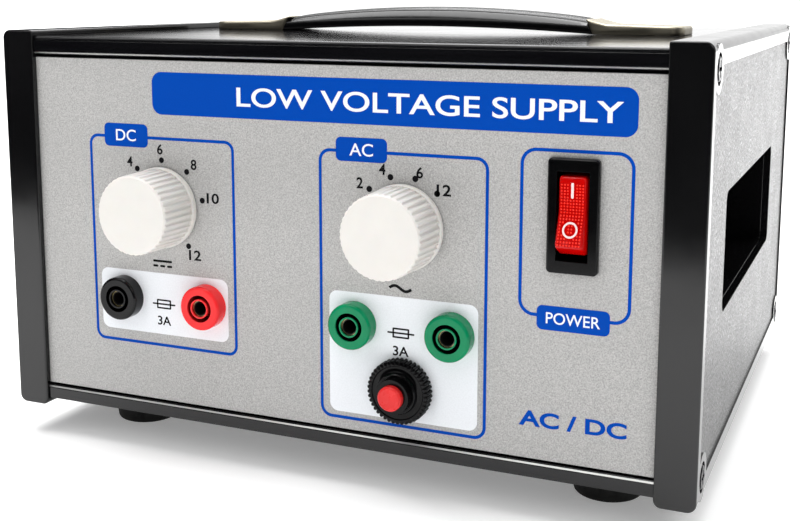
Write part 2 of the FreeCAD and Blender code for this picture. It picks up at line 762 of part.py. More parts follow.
def breaker():
    """The resettable breaker: its case behind the panel, a toothed ring nut and a red button."""
    tube = turned("breaker_tube", [("3.6 + runningGap * 2", -8), (5.1, -8), (5.1, "panelThick"),
                                   (9, "panelThick"), (9, 6), ("3.6 + runningGap * 2", 6)])
    place(tube, "acColumn", "panelInset", "breakerHeight")
    case = block("breaker_case", (14, 30, 26), "acColumn", f"{PANEL_BACK} + 4", "breakerHeight - 9")
    finished(fuse("breaker_body", [tube, case]))
    ring = turned("breaker_nut", [(5.15, -0.05), (5.15, -5.2), (7.4, -4.4), (8.9, -4), (9.3, -3.5),
                                  (9.3, -0.05)])
    notch = sketch_on(ring, "XZ_Plane", 6)
    circle(notch, 0, 9.75, 0.72)
    cutter = pocket(ring, notch, 7)
    repeat_round(ring, cutter, "Y_Axis", 40)
    finished(place(ring, "acColumn", "panelInset", "breakerHeight"))
    button = turned("breaker_button", [(0, -10), (3.1, -10), (3.6, -9.5), (3.6, 5.8), (0, 5.8)])
    finished(place(button, "acColumn", "panelInset", "breakerHeight"))
    lugs = [block(f"breaker_lug_{number + 1}", (6.3, 9, 0.8), "acColumn", f"{PANEL_BACK} + 34",
                  f"breakerHeight - 3 + {14 * number}") for number in range(2)]
    group("breaker_terminals", lugs)


# ---------------------------------------------------------------- power switch

ROCKER_TILT = 11
PIVOT_BACK = 4.0
ROCKER_CENTRE = 6.4
ROCKER_HALF = 9.3


def switch_housing():
    """The black bezel and the case behind the panel, hollow for the rocker."""
    body = new_body("power_switch_housing")
    face = sketch_on(body, "XZ_Plane", 2.0)
    rectangle(face, -7, -15.5, 7, 15.5)
    pad(body, face, 2.0, flip=True)
    dress(body, "Fillet", 1.2, lambda box: near(box.XLength, 0) and near(box.ZLength, 0))
    dress(body, "Fillet", 0.7, lambda box: near(box.YMin, -2) and near(box.YMax, -2))
    case = sketch_on(body, "XZ_Plane")
    rectangle(case, -6, -13.5, 6, 13.5)
    pad(body, case, 21, flip=True)
    mouth = sketch_on(body, "XZ_Plane", 2.0)
    rectangle(mouth, -4.4, -12.05, 4.4, 12.05)
    pocket(body, mouth, 19)
    pivot = sketch_on(body, "YZ_Plane", 6)
    circle(pivot, PIVOT_BACK, 0, "1.5 + runningGap")
    pocket(body, pivot, 12)
    finished(place(body, "switchX", "panelInset", "switchHeight"))


def rocker():
    """The rocker: two flat faces that meet in a shallow valley, round ends and a pivot pin."""
    corner_y = -(ROCKER_CENTRE + ROCKER_HALF * math.tan(math.radians(ROCKER_TILT)))
    shoulder_y, shoulder_z = -3.0, 10.9
    heel_y, heel_z = 3.0, 7.0
    body = new_body("power_switch_rocker")
    profile = sketch_on(body, "YZ_Plane", -4.1)
    outline(profile, [(-ROCKER_CENTRE, 0), (corner_y, -ROCKER_HALF), (shoulder_y, -shoulder_z),
                      (heel_y, -heel_z), (heel_y, heel_z), (shoulder_y, shoulder_z),
                      (corner_y, ROCKER_HALF)], {1: 0.25, 5: 0.25})
    pad(body, profile, 8.2)
    pin = sketch_on(body, "YZ_Plane", -6)
    circle(pin, 0, 0, 1.5)
    pad(body, pin, 12)
    dress(body, "Chamfer", 0.6, lambda box: near(box.XLength, 0) and box.YMax < 0.1 - ROCKER_CENTRE
          and box.ZLength > 6)
    dress(body, "Fillet", 0.4, lambda box: near(box.YMin, corner_y) and near(box.YLength, 0)
          and box.XLength > 6)
    turn = FreeCAD.Rotation(FreeCAD.Vector(1, 0, 0), -ROCKER_TILT)
    body.Placement = FreeCAD.Placement(FreeCAD.Vector(), turn)
    finished(place(body, "switchX", f"panelInset + {PIVOT_BACK}", "switchHeight"))


def switch_terminals():
    lugs = [block(f"switch_lug_{number + 1}", (6.3, 9, 0.8), "switchX", "panelInset + 21",
                  f"switchHeight + {9 * (number - 1)}") for number in range(3)]
    group("power_switch_terminals", lugs)


# ---------------------------------------------------------------- mains inlet at the rear

PINS = [(-7, 2.5), (7, 2.5), (0, 7.5)]


def mains_inlet():
    """A three pin mains inlet with a fuse drawer under it, in the rear panel."""
    face = "frameDeep - panelInset"
    flange = block("inlet_flange", (50, "rearProud + panelInset", 36), "inletX", face,
                   "inletHeight - 18")
    shell = block("inlet_shell", (27.4, 24, 32), "inletX", f"{face} - 24", "inletHeight - 16")
    solid = fuse("inlet_solid", [flange, shell])
    cavity = block("inlet_cavity", (25, 20, 16.5), "inletX", f"{face} + 3 - 19", "inletHeight - 2")
    chamber = block("inlet_chamber", (22.4, 25, 8.4), "inletX", f"{face} + 3 - 24", "inletHeight - 13.2")
    holes = []
    for side in (-1, 1):
        for radius, depth in ((1.7, face), (3.1, f"{face} + 1.9")):
            holes.append(rod(f"inlet_hole_{len(holes) + 1}", radius, 6, f"inletX + {side} * 20", depth,
                             "inletHeight", "Y"))
    pin_holes = [block(f"pin_hole_{index}", (2.1, 12, 4.1), f"inletX + {x}", f"{face} - 26",
                       f"inletHeight + {height} - 0.05") for index, (x, height) in enumerate(PINS)]
    finished(cut("mains_inlet", solid, fuse("inlet_cuts", [cavity, chamber] + holes + pin_holes)))
    pins = [block(f"inlet_pin_{index}", (2, 24, 4), f"inletX + {x}", f"{face} - 30",
                  f"inletHeight + {height}") for index, (x, height) in enumerate(PINS)]
    group("inlet_pins", pins)
    screws = []
    for side in (-1, 1):
        screw = pan_screw(f"inlet_screw_{len(screws) + 1}", 9, 2.8, 1.0, 1.5)
        screws.append(aim(screw, f"inletX + {side} * 20", f"{face} + 1.9", "inletHeight", (0, -1, 0)))
    return screws


def fuse_drawer():
    """The drawer under the inlet: a tray that carries the glass fuse, and slides out to the rear."""
    face = "frameDeep + rearProud"
    tray = block("drawer_tray", (22, 22, 8), "inletX", f"{face} - 22.2", "inletHeight - 13")
    hollow = block("drawer_hollow", (20.6, 14, 9), "inletX", f"{face} - 20.6", "inletHeight - 11.6")
    grip = block("drawer_grip", (8, 1.2, 1.6), "inletX", f"{face} - 1.0", "inletHeight - 9.6")
    tools = fuse("drawer_cuts", [hollow, grip])
    finished(cut("fuse_drawer", tray, tools))
    glass = rod("fuse_glass", 2.3, 12, "inletX - 6", f"{face} - 13.6", "inletHeight - 8.9", "X")
    caps = [rod(f"fuse_cap_{index}", 2.6, 4, f"inletX + {x}", f"{face} - 13.6", "inletHeight - 8.9", "X")
            for index, x in enumerate((-10, 6))]
    finished(fuse("fuse", [glass] + caps))


# ---------------------------------------------------------------- inside

def transformer():
    """A laminated core with its windings, held to the floor by a bent bracket."""
    wide, deep, tall = 80, 36, 66
    floor = f"{FLOOR} + 2"
    core = block("core_block", (wide, deep, tall), "coreX", f"coreDepth - {deep / 2}", floor)
    windows = [block(f"core_window_{side + 2}", (13.4, deep + 2, 40), f"coreX + {side} * 20",
                     f"coreDepth - {deep / 2} - 1", f"{floor} + 13") for side in (-1, 1)]
    finished(cut("transformer_core", core, fuse("core_windows", windows)))
    coil = block("coil_block", (53, deep + 26, 39.6), "coreX", f"coreDepth - {deep / 2} - 13",
                 f"{floor} + 13.2")
    leg = block("core_leg", (26.8, deep + 0.2, 42), "coreX", f"coreDepth - {deep / 2} - 0.1",
                f"{floor} + 12")
    finished(cut("transformer_windings", coil, leg))
    legs = [block(f"bracket_leg_{side + 2}", (1.5, 20, tall + 3.6), f"coreX + {side} * {wide / 2 + 0.85}",
                  "coreDepth - 10", FLOOR) for side in (-1, 1)]
    bridge = block("bracket_bridge", (wide + 3.2, 20, 1.5), "coreX", "coreDepth - 10",
                   f"{floor} + {tall} + 0.1")
    soles = [block(f"bracket_foot_{side + 2}", (9, deep, 2), f"coreX + {side} * {wide / 2 + 4.6}",
                   f"coreDepth - {deep / 2}", FLOOR) for side in (-1, 1)]
    bracket = fuse("bracket_solid", legs + [bridge] + soles)
    holes = [rod(f"bracket_hole_{index}", "holeRadius", 6, x, depth, f"{FLOOR} - 1")
             for index, (x, depth) in enumerate(CORE_FEET)]
    finished(cut("transformer_bracket", bracket, fuse("bracket_holes", holes)))
    screws = [aim(pan_screw(f"core_screw_{index + 1}", 9), x, depth, "coverLow", (0, 0, 1))
              for index, (x, depth) in enumerate(CORE_FEET)]
    group("transformer_screws", screws)


def electronics():
    """The rectifier and regulator board on its spacers, with its parts."""
    level = f"{FLOOR} + 8"
    top = f"{level} + 1.6"
    board = block("board_blank", (74, 58, 1.6), "boardX", "boardDepth - 29", level)
    holes = [rod(f"board_hole_{index}", 1.7, 4, x, depth, f"{level} - 1")
             for index, (x, depth) in enumerate(BOARD_FEET)]
    finished(cut("circuit_board", board, fuse("board_holes", holes)))
    spacers, screws = [], []
    for index, (x, depth) in enumerate(BOARD_FEET):
        outer = rod(f"spacer_outer_{index}", 3, 8, x, depth, FLOOR)
        inner = rod(f"spacer_bore_{index}", 1.55, 10, x, depth, f"{FLOOR} - 1")
        spacers.append(cut(f"spacer_{index}", outer, inner))
        screw = pan_screw(f"board_screw_{index}", 6, 2.8, 1.8, 1.5)
        screws.append(aim(screw, x, depth, top, (0, 0, -1)))
    group("board_spacers", spacers)
    for index, (x, depth) in enumerate(BOARD_FEET):
        screw = pan_screw(f"board_floor_screw_{index}", 4, 2.8, 1.8, 1.5)
        screws.append(aim(screw, x, depth, "coverLow", (0, 0, 1)))
    group("board_screws", screws + mains_inlet())
    rectifier = block("bridge_rectifier", (22, 6, 18), "boardX - 18", "boardDepth - 20", top)
    finished(rectifier)
    finished(rod("smoothing_capacitor", 12.5, 40, "boardX - 16", "boardDepth + 8", top))
    base = block("heatsink_base", (4, 44, 40), "boardX + 12", "boardDepth - 20", top)
    fins = [block(f"heatsink_fin_{index}", (14, 2, 40), "boardX + 20", f"boardDepth - 20 + {7 * index}", top)
            for index in range(7)]
    finished(fuse("heatsink", [base] + fins))
    finished(block("voltage_regulator", (4.6, 16, 21), "boardX + 7.6", "boardDepth - 6", f"{top} + 8"))


# ---------------------------------------------------------------- wiring

def rounded_path(points, largest):
    """Straight runs through the points, joined by tangent arcs as large as the runs allow."""
    edges = []
    here = points[0]
    for before, corner, after in zip(points, points[1:], points[2:]):
        into = (corner - before).normalize()
        out = (after - corner).normalize()
        half_turn = into.getAngle(out) / 2
        room = 0.45 * min((corner - before).Length, (after - corner).Length)
        reach = min(room, largest * math.tan(half_turn))
        start, end = corner - into * reach, corner + out * reach
        inwards = (out - into).normalize()
        radius = reach / math.tan(half_turn)
        crown = corner + inwards * (radius / math.cos(half_turn) - radius)
        edges.append(Part.LineSegment(here, start).toShape())
        edges.append(Part.Arc(start, crown, end).toShape())
        here = end
    edges.append(Part.LineSegment(here, points[-1]).toShape())
    return Part.Wire(edges)


def wire(label, route, radius=1.0):
    """An insulated wire swept along a route of x, depth and height."""
    points = [FreeCAD.Vector(value(x), value(f"{FRONT} + {depth}"), value(f"footDrop + {height}"))
              for x, depth, height in route]
    path = rounded_path(points, largest=12)
    section = Part.Wire(Part.Circle(points[0], points[1] - points[0], radius).toShape())
    shape = path.makePipeShell([section], True, False)
    if abs(shape.Volume / (math.pi * radius ** 2 * path.Length) - 1) > 0.02:
        raise RuntimeError(f"{label} swept to the wrong volume")
    thing = doc.addObject("Part::Feature", label)
    thing.Shape = shape
    return thing


def wiring():
    """The wires between the inlet, switch, transformer, board, dials, breaker and sockets."""
    pin_back = "frameDeep - panelInset - 30.1"
    contact_back = "panelInset + 26.1"
    lug_back = "panelInset + 30.1"
    coil_front, coil_back = "coreDepth - 31.1", "coreDepth + 31.1"
    board_top = f"{FLOOR} + 9.7"
    left_dc, right_dc = "dcColumn - socketPitch / 2", "dcColumn + socketPitch / 2"
    left_ac, right_ac = "acColumn - socketPitch / 2", "acColumn + socketPitch / 2"
    routes = {
        "live_wire": [("inletX - 7", pin_back, "inletHeight + 4.5"), ("inletX - 7", 156, "inletHeight + 4.5"),
                      (-62, 140, 98), (20, 120, 102), (66, 80, 98), ("switchX", 44, "switchHeight - 9"),
                      ("switchX", lug_back, "switchHeight - 9")],
        "switched_wire": [("switchX", lug_back, "switchHeight + 9.4"), ("switchX", 44, "switchHeight + 9.4"),
                          (40, 58, 100), (-24, 64, 92), (-34, 70, 44), (-34, coil_front, 44)],
        "neutral_wire": [("inletX + 7", pin_back, "inletHeight + 4.5"),
                         ("inletX + 7", 157, "inletHeight + 4.5"),
                         (-50, 153, 40), (-50, coil_back, 40)],
        "earth_wire": [("inletX", pin_back, "inletHeight + 9.5"), ("inletX", 158, "inletHeight + 9.5"),
                       (-78, 154, 50), (-88, 148, 18), (-88, 148, f"{FLOOR} + 0.1")],
        "low_voltage_wire": [(-50, coil_front, 40), (-50, 66, 40), (-20, 50, 46), (16, 44, 44),
                             ("acColumn", 34, 44), ("acColumn", 28.4, 50.4)],
        "board_feed_wire": [(-38, coil_front, 34), (-38, 66, 34), (-8, 72, 30), (34, 93, 27),
                            (34, 93, board_top)],
        "red_wire": [(42, 93, board_top), (42, 93, 24), (4, 76, 28), (-16, 56, 34),
                     (right_dc, 42, "socketHeight"), (right_dc, contact_back, "socketHeight")],
        "black_wire": [(50, 93, board_top), (50, 93, 18), (-2, 70, 18), (-40, 56, 24),
                       (left_dc, 44, "socketHeight"), (left_dc, contact_back, "socketHeight")],
        "breaker_wire": [("acColumn", 47.2, "breakerHeight + 11.4"), ("acColumn", 56, "breakerHeight + 11.4"),
                         (right_ac, 46, "socketHeight"), (right_ac, contact_back, "socketHeight")],
        "return_wire": [(-44, coil_front, 28), (-44, 66, 28), (-16, 48, 36),
                        (left_ac, 40, "socketHeight"), (left_ac, contact_back, "socketHeight")],
    }
    group("internal_wiring", [wire(label, route) for label, route in routes.items()])


def write_parts():
    """Recomputes, checks every object and shape, and writes one STEP file for each part."""
    doc.recompute()
    for thing in doc.Objects:
        if any(flag in ("Invalid", "Error") for flag in thing.State):
            raise RuntimeError(f"{thing.Name} failed: {thing.State}")
    os.makedirs("parts", exist_ok=True)
    for thing in nodes:
        shape = thing.Shape
        if shape.isNull() or not shape.isValid() or shape.Volume <= 0:
            raise RuntimeError(f"{thing.Label} has no valid shape")
        shape.exportStep(f"parts/{thing.Label}.step")


fill_sheet()
case_sides()
rails()
front_panel()
rear_panel()
covers()
frame_screws()
feet()
floor_nuts()
handle()
handle_caps()
dials()
sockets()
breaker()
switch_housing()
rocker()
switch_terminals()
fuse_drawer()
transformer()
electronics()
wiring()
write_parts()
box = Part.makeCompound([thing.Shape for thing in nodes]).BoundBox
print(f"{len(nodes)} parts, X {box.XMin:.2f} to {box.XMax:.2f}, "
      f"Y {box.YMin:.2f} to {box.YMax:.2f}, Z {box.ZMin:.2f} to {box.ZMax:.2f}")
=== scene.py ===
"""Looks of the bench power supply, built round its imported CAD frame. A Blender 4.5 script.

Everything is in metres in the frame of the CAD model: +Z is up, the front panel faces -Y and the
origin is on the floor under the middle of the box. Sizes of the object are written in millimetres
and multiplied by MM, as is the camera's place. The rest of the studio is in metres. Heights on the
front panel are measured from the undersides of the side frames.
"""
import math

import bmesh
import bpy
from mathutils import Matrix, Vector
from mathutils.bvhtree import BVHTree


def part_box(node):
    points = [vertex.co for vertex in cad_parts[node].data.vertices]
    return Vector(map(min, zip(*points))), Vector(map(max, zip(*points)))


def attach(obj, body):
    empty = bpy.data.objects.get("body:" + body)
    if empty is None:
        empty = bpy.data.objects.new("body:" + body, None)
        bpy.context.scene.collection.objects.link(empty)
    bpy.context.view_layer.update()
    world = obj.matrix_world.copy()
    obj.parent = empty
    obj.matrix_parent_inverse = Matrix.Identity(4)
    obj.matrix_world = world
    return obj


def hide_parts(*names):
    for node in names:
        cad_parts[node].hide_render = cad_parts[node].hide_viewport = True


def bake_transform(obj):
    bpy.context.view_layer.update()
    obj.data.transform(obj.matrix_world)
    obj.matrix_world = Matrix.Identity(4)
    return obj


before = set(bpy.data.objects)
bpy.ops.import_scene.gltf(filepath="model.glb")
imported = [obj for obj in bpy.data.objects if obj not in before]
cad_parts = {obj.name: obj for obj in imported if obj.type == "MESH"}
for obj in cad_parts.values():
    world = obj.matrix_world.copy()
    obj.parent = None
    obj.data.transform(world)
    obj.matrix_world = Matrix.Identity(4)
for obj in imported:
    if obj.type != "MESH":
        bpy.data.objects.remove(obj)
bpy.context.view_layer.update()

MM = 0.001


def middle(node):
    low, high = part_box(node)
    return (low + high) / 2


PANEL_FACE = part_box("front_panel")[0].y
FOOT_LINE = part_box("left_side_frame")[0].z
COVER_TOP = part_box("top_cover")[1].z
DC_KNOB = middle("dc_knob")
AC_KNOB = middle("ac_knob")
SWITCH = middle("power_switch_housing")
HANDLE_Y = middle("handle_grip").y


# ---------------------------------------------------------------- camera, floor and light

CAMERA_PLACE = (154.8, -391.3, 144.3)
CAMERA_HEADING = 23.21
CAMERA_PITCH = -8.92
CAMERA_ROLL = 0.10
CAMERA_LENS = 53.24
CAMERA_SENSOR = 36
CAMERA_SHIFT = -0.1006
WORLD_DIM = 0.15
WORLD_BRIGHT = 1.25
FLOOR_REACH = 7
FLOOR_GLOW = 0.25
CARD_HALF = 2.5
CARD_NEAR, CARD_FAR = -0.42, -1.3
CARD_LIFT, CARD_TALL = 0.002, 0.5

# Each softbox's name, place, target, width and height, and watts.
SOFTBOXES = (
    ("key_softbox", (-0.7, -1.1, 1.0), (0, 0, 0.05), (1.0, 0.8), 4.1),
    ("spark_softbox", (-0.25, -0.9, 1.3), (0, 0, 0.05), (0.14, 0.14), 0.9),
    ("fill_softbox", (0.9, -1.1, 0.9), (0, 0, 0.05), (0.9, 0.7), 3.2),
    ("top_softbox", (-0.3, 0.1, 1.5), (-0.1, 0.4, 0), (1.4, 1.2), 31),
    ("back_softbox", (0.3, 1.5, 1.7), (0.3, 1.9, 0), (3.0, 1.8), 90),
    ("far_softbox", (0, 4, 4), (0, 10, 0), (16, 7), 1500),
)


def add_camera():
    lens = bpy.data.cameras.new("camera")
    lens.lens = CAMERA_LENS
    lens.sensor_width = CAMERA_SENSOR
    lens.shift_y = CAMERA_SHIFT
    lens.clip_start = 0.01
    lens.clip_end = 200
    camera = bpy.data.objects.new("camera", lens)
    bpy.context.scene.collection.objects.link(camera)
    turn = Matrix.Rotation(math.radians(CAMERA_HEADING), 4, "Z")
    tilt = Matrix.Rotation(math.radians(90 + CAMERA_PITCH), 4, "X")
    roll = Matrix.Rotation(math.radians(CAMERA_ROLL), 4, "Z")
    camera.matrix_world = Matrix.Translation(Vector(CAMERA_PLACE) * MM) @ turn @ tilt @ roll
    bpy.context.scene.camera = camera


def add_softbox(name, place, target, size, power):
    """A rectangular lamp that faces its target and isn't seen itself."""
    lamp = bpy.data.lights.new(name, "AREA")
    lamp.shape = "RECTANGLE"
    lamp.size, lamp.size_y = size
    lamp.energy = power
    box = bpy.data.objects.new(name, lamp)
    bpy.context.scene.collection.objects.link(box)
    box.location = place
    box.rotation_euler = (Vector(target) - Vector(place)).to_track_quat("-Z", "Y").to_euler()
    box.visible_camera = False


def add_world():
    """Dim light all round, bright in a low band behind the object and past the edge of the floor."""
    world = bpy.data.worlds.new("studio")
    world.use_nodes = True
    tree = world.node_tree
    direction = tree.nodes.new("ShaderNodeSeparateXYZ")
    tree.links.new(tree.nodes.new("ShaderNodeTexCoord").outputs["Generated"], direction.inputs["Vector"])

    def ramp(output, start, end, low, high):
        node = tree.nodes.new("ShaderNodeMapRange")
        for name, level in (("From Min", start), ("From Max", end), ("To Min", low), ("To Max", high)):
            node.inputs[name].default_value = level
        tree.links.new(output, node.inputs["Value"])
        return node.outputs["Result"]

    def math_node(operation, first, second):
        node = tree.nodes.new("ShaderNodeMath")
        node.operation = operation
        tree.links.new(first, node.inputs[0])
        if isinstance(second, float):
            node.inputs[1].default_value = second
        else:
            tree.links.new(second, node.inputs[1])
        return node.outputs["Value"]

    behind = ramp(direction.outputs["Y"], -0.15, 0.35, 0.0, 1.0)
    low = ramp(direction.outputs["Z"], 0.25, 0.6, 1.0, 0.0)
    right = ramp(direction.outputs["X"], -0.6, -0.5, 0.0, 1.0)
    band = math_node("MULTIPLY", math_node("MULTIPLY", behind, low), right)
    below = math_node("LESS_THAN", direction.outputs["Z"], 0.0)
    bright = math_node("MAXIMUM", band, below)
    background = tree.nodes["Background"]
    tree.links.new(ramp(bright, 0.0, 1.0, WORLD_DIM, WORLD_BRIGHT), background.inputs["Strength"])
    background.inputs["Color"].default_value = (1, 1, 1, 1)
    bpy.context.scene.world = world


def add_staged(name, corners, faces, finish):
    """A flat-sided thing of the studio, which is no part of the object."""
    mesh = bpy.data.meshes.new(name)
    mesh.from_pydata(corners, [], faces)
    mesh.materials.append(finish.material)
    thing = bpy.data.objects.new(name, mesh)
    bpy.context.scene.collection.objects.link(thing)
    return thing


def add_floor():
    """Near-white paper, lit a little from below so that the shadow on it stays pale."""
    paper = Finish("studio_paper", (0.96, 0.96, 0.96), 0.9, specular=0.1)
    paper.colour_between(paper.noise(60, detail=1), (0.955, 0.955, 0.955), (0.965, 0.965, 0.965))
    paper.set("Emission Color", (1, 1, 1, 1))
    paper.set("Emission Strength", FLOOR_GLOW)
    corners = [(x * FLOOR_REACH, y * FLOOR_REACH, 0) for x, y in ((-1, -1), (1, -1), (1, 1), (-1, 1))]
    add_staged("floor", corners, [(0, 1, 2, 3)], paper)


def add_dark_card():
    """A black card, low in front and seen only in reflections, that keeps the black parts black."""
    cloth = Finish("black_cloth", (0.002, 0.002, 0.002), 1.0, specular=0.0)
    cloth.colour_between(cloth.noise(5), (0.001, 0.001, 0.001), (0.003, 0.003, 0.003))
    profile = ((CARD_NEAR, CARD_LIFT), (CARD_FAR, CARD_LIFT), (CARD_FAR, CARD_TALL))
    corners = [(side * CARD_HALF, y, z) for y, z in profile for side in (-1, 1)]
    card = add_staged("dark_card", corners, [(0, 1, 3, 2), (2, 3, 5, 4)], cloth)
    card.visible_camera = False
    card.visible_diffuse = False
    card.visible_shadow = False


def add_stage():
    add_camera()
    add_world()
    add_floor()
    add_dark_card()
    for softbox in SOFTBOXES:
        add_softbox(*softbox)
    bpy.context.scene.view_settings.view_transform = "Standard"


# ---------------------------------------------------------------- finishes

def linear(level):
    level = level / 255
    return level / 12.92 if level <= 0.04045 else ((level + 0.055) / 1.055) ** 2.4


def shade(red, green, blue):
    """A linear colour from the usual 0 to 255 levels."""
    return linear(red), linear(green), linear(blue)


class Finish:
    """A Principled material with procedural detail in its colour, roughness and relief."""

    def __init__(self, name, colour, roughness, metallic=0.0, specular=0.5, coat=0.0,
                 subsurface=0.0, transmission=0.0):
        self.material = bpy.data.materials.new(name)
        self.material.use_nodes = True
        self.tree = self.material.node_tree
        self.shader = self.tree.nodes["Principled BSDF"]
        self.set("Base Color", (*colour, 1))
        self.set("Roughness", roughness)
        self.set("Metallic", metallic)
        self.set("Specular IOR Level", specular)
        self.set("Coat Weight", coat)
        self.set("Coat Roughness", 0.1)
        self.set("Subsurface Weight", subsurface)
        self.set("Subsurface Scale", 1.5 * MM)
        self.set("Transmission Weight", transmission)
        self.place = self.add("ShaderNodeTexCoord").outputs["Object"]
        self.relief_chain = None
        self.colour = colour
        self.material.diffuse_color = (*colour, 1)

    def set(self, socket, level):
        self.shader.inputs[socket].default_value = level

    def add(self, kind, **inputs):
        node = self.tree.nodes.new(kind)
        for name, level in inputs.items():
            node.inputs[name.replace("_", " ")].default_value = level
        return node

    def link(self, output, socket):
        self.tree.links.new(output, socket)

    def noise(self, size, detail=2, stretch=(1, 1, 1), roughness=0.5):
        """A noise with features of about this size in millimetres, stretched along some axes."""
        mapping = self.add("ShaderNodeMapping", Scale=[1 / (size * MM * s) for s in stretch])
        texture = self.add("ShaderNodeTexNoise", Scale=1.0, Detail=detail, Roughness=roughness)
        self.link(self.place, mapping.inputs["Vector"])
        self.link(mapping.outputs["Vector"], texture.inputs["Vector"])
        return texture.outputs["Fac"]

    def waves(self, period, axis, distortion):
        """Soft stripes stacked along an axis, one every so many millimetres."""
        texture = self.add("ShaderNodeTexWave", Scale=math.pi / (10 * period * MM), Distortion=distortion)
        texture.bands_direction = axis
        self.link(self.place, texture.inputs["Vector"])
        return texture.outputs["Fac"]

    def ramp(self, fac, low, high, start=0.35, end=0.65):
        """Takes the fac's middle stretch to the range low to high."""
        node = self.add("ShaderNodeMapRange", From_Min=start, From_Max=end, To_Min=low, To_Max=high)
        self.link(fac, node.inputs["Value"])
        return node.outputs["Result"]

    def math(self, operation, first, second=None):
        node = self.add("ShaderNodeMath")
        node.operation = operation
        for socket, level in zip(node.inputs, (first, second)):
            if isinstance(level, (int, float)):
                socket.default_value = level
            elif level is not None:
                self.link(level, socket)
        return node.outputs["Value"]

    def mix_colour(self, fac, first, second):
        node = self.add("ShaderNodeMix")
        node.data_type = "RGBA"
        self.link(fac, node.inputs["Factor"])
        for socket, colour in ((node.inputs[6], first), (node.inputs[7], second)):
            if isinstance(colour, tuple):
                socket.default_value = (*colour, 1)
            else:
                self.link(colour, socket)
        return node.outputs[2]

    def colour_between(self, fac, first, second, start=0.3, end=0.7):
        self.paint(self.mix_colour(self.ramp(fac, 0, 1, start, end), first, second))

    def paint(self, colour):
        self.colour = colour
        self.link(colour, self.shader.inputs["Base Color"])

    def paint_over(self, mask, colour):
        """Lays another colour over the finish where the mask is 1."""
        self.paint(self.mix_colour(mask, self.colour, colour))

    def roughness_between(self, fac, low, high):
        self.link(self.ramp(fac, low, high), self.shader.inputs["Roughness"])

    def relief(self, fac, depth):
        """Raises the surface by up to this depth in millimetres where fac is high."""
        bump = self.add("ShaderNodeBump", Distance=depth * MM, Strength=1.0)
        self.link(fac, bump.inputs["Height"])
        if self.relief_chain is not None:
            self.link(self.relief_chain, bump.inputs["Normal"])
        self.relief_chain = bump.outputs["Normal"]
        self.link(self.relief_chain, self.shader.inputs["Normal"])

    def soft_edges(self, radius):
        """Rounds the look of sharp edges by this radius in millimetres."""
        bevel = self.add("ShaderNodeBevel", Radius=radius * MM)
        bevel.samples = 4
        self.relief_chain = bevel.outputs["Normal"]
        self.link(self.relief_chain, self.shader.inputs["Normal"])

    def between(self, level, low, high):
        above = self.math("GREATER_THAN", level, low)
        below = self.math("LESS_THAN", level, high)
        return self.math("MULTIPLY", above, below)

    def part_of(self, vector, axis):
        parts = self.add("ShaderNodeSeparateXYZ")
        self.link(vector, parts.inputs["Vector"])
        return parts.outputs[axis]

    def inside(self, axis, low, high):
        """1 where a coordinate, its sign apart, lies between two levels in metres, else 0."""
        return self.between(self.math("ABSOLUTE", self.part_of(self.place, axis)), low, high)

    def facing(self, axis, low, high=1.1):
        """1 where the normal's share along an axis, its sign apart, is between two levels."""
        normal = self.add("ShaderNodeNewGeometry").outputs["True Normal"]
        return self.between(self.math("ABSOLUTE", self.part_of(normal, axis)), low, high)

    def ring_round(self, centre, inner, outer):
        """1 between two radii, in millimetres, round an axis through the centre along Y."""
        offset = self.add("ShaderNodeVectorMath")
        offset.operation = "SUBTRACT"
        self.link(self.place, offset.inputs[0])
        offset.inputs[1].default_value = centre
        flat = self.add("ShaderNodeVectorMath")
        flat.operation = "MULTIPLY"
        self.link(offset.outputs["Vector"], flat.inputs[0])
        flat.inputs[1].default_value = (1, 0, 1)
        length = self.add("ShaderNodeVectorMath")
        length.operation = "LENGTH"
        self.link(flat.outputs["Vector"], length.inputs[0])
        return self.between(length.outputs["Value"], inner * MM, outer * MM)

    def any_of(self, masks):
        mask = masks[0]
        for other in masks[1:]:
            mask = self.math("MAXIMUM", mask, other)
        return mask


def frame_plastic():
    """Black moulded frames: glossy posts and rims, and a pebbled field on the outer side."""
    finish = Finish("frame_plastic", shade(12, 12, 13), 0.14, specular=0.45)
    finish.soft_edges(0.35)
    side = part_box("right_side_frame")[1].x
    sunk = finish.inside("X", side - 0.9 * MM, side - 0.3 * MM)
    field = finish.math("MULTIPLY", finish.facing("X", 0.9), sunk)
    pebbles = finish.noise(0.85, detail=2, roughness=0.6)
    finish.relief(finish.math("MULTIPLY", pebbles, field), 0.2)
    finish.relief(finish.noise(3, detail=2), 0.002)
    finish.colour_between(finish.noise(40), shade(9, 9, 10), shade(15, 15, 16))
    smooth = finish.ramp(finish.noise(12, detail=4), 0.11, 0.15)
    rough = finish.math("MULTIPLY", field, finish.ramp(pebbles, 0.1, 0.3))
    finish.link(finish.math("ADD", smooth, rough), finish.shader.inputs["Roughness"])
    return finish


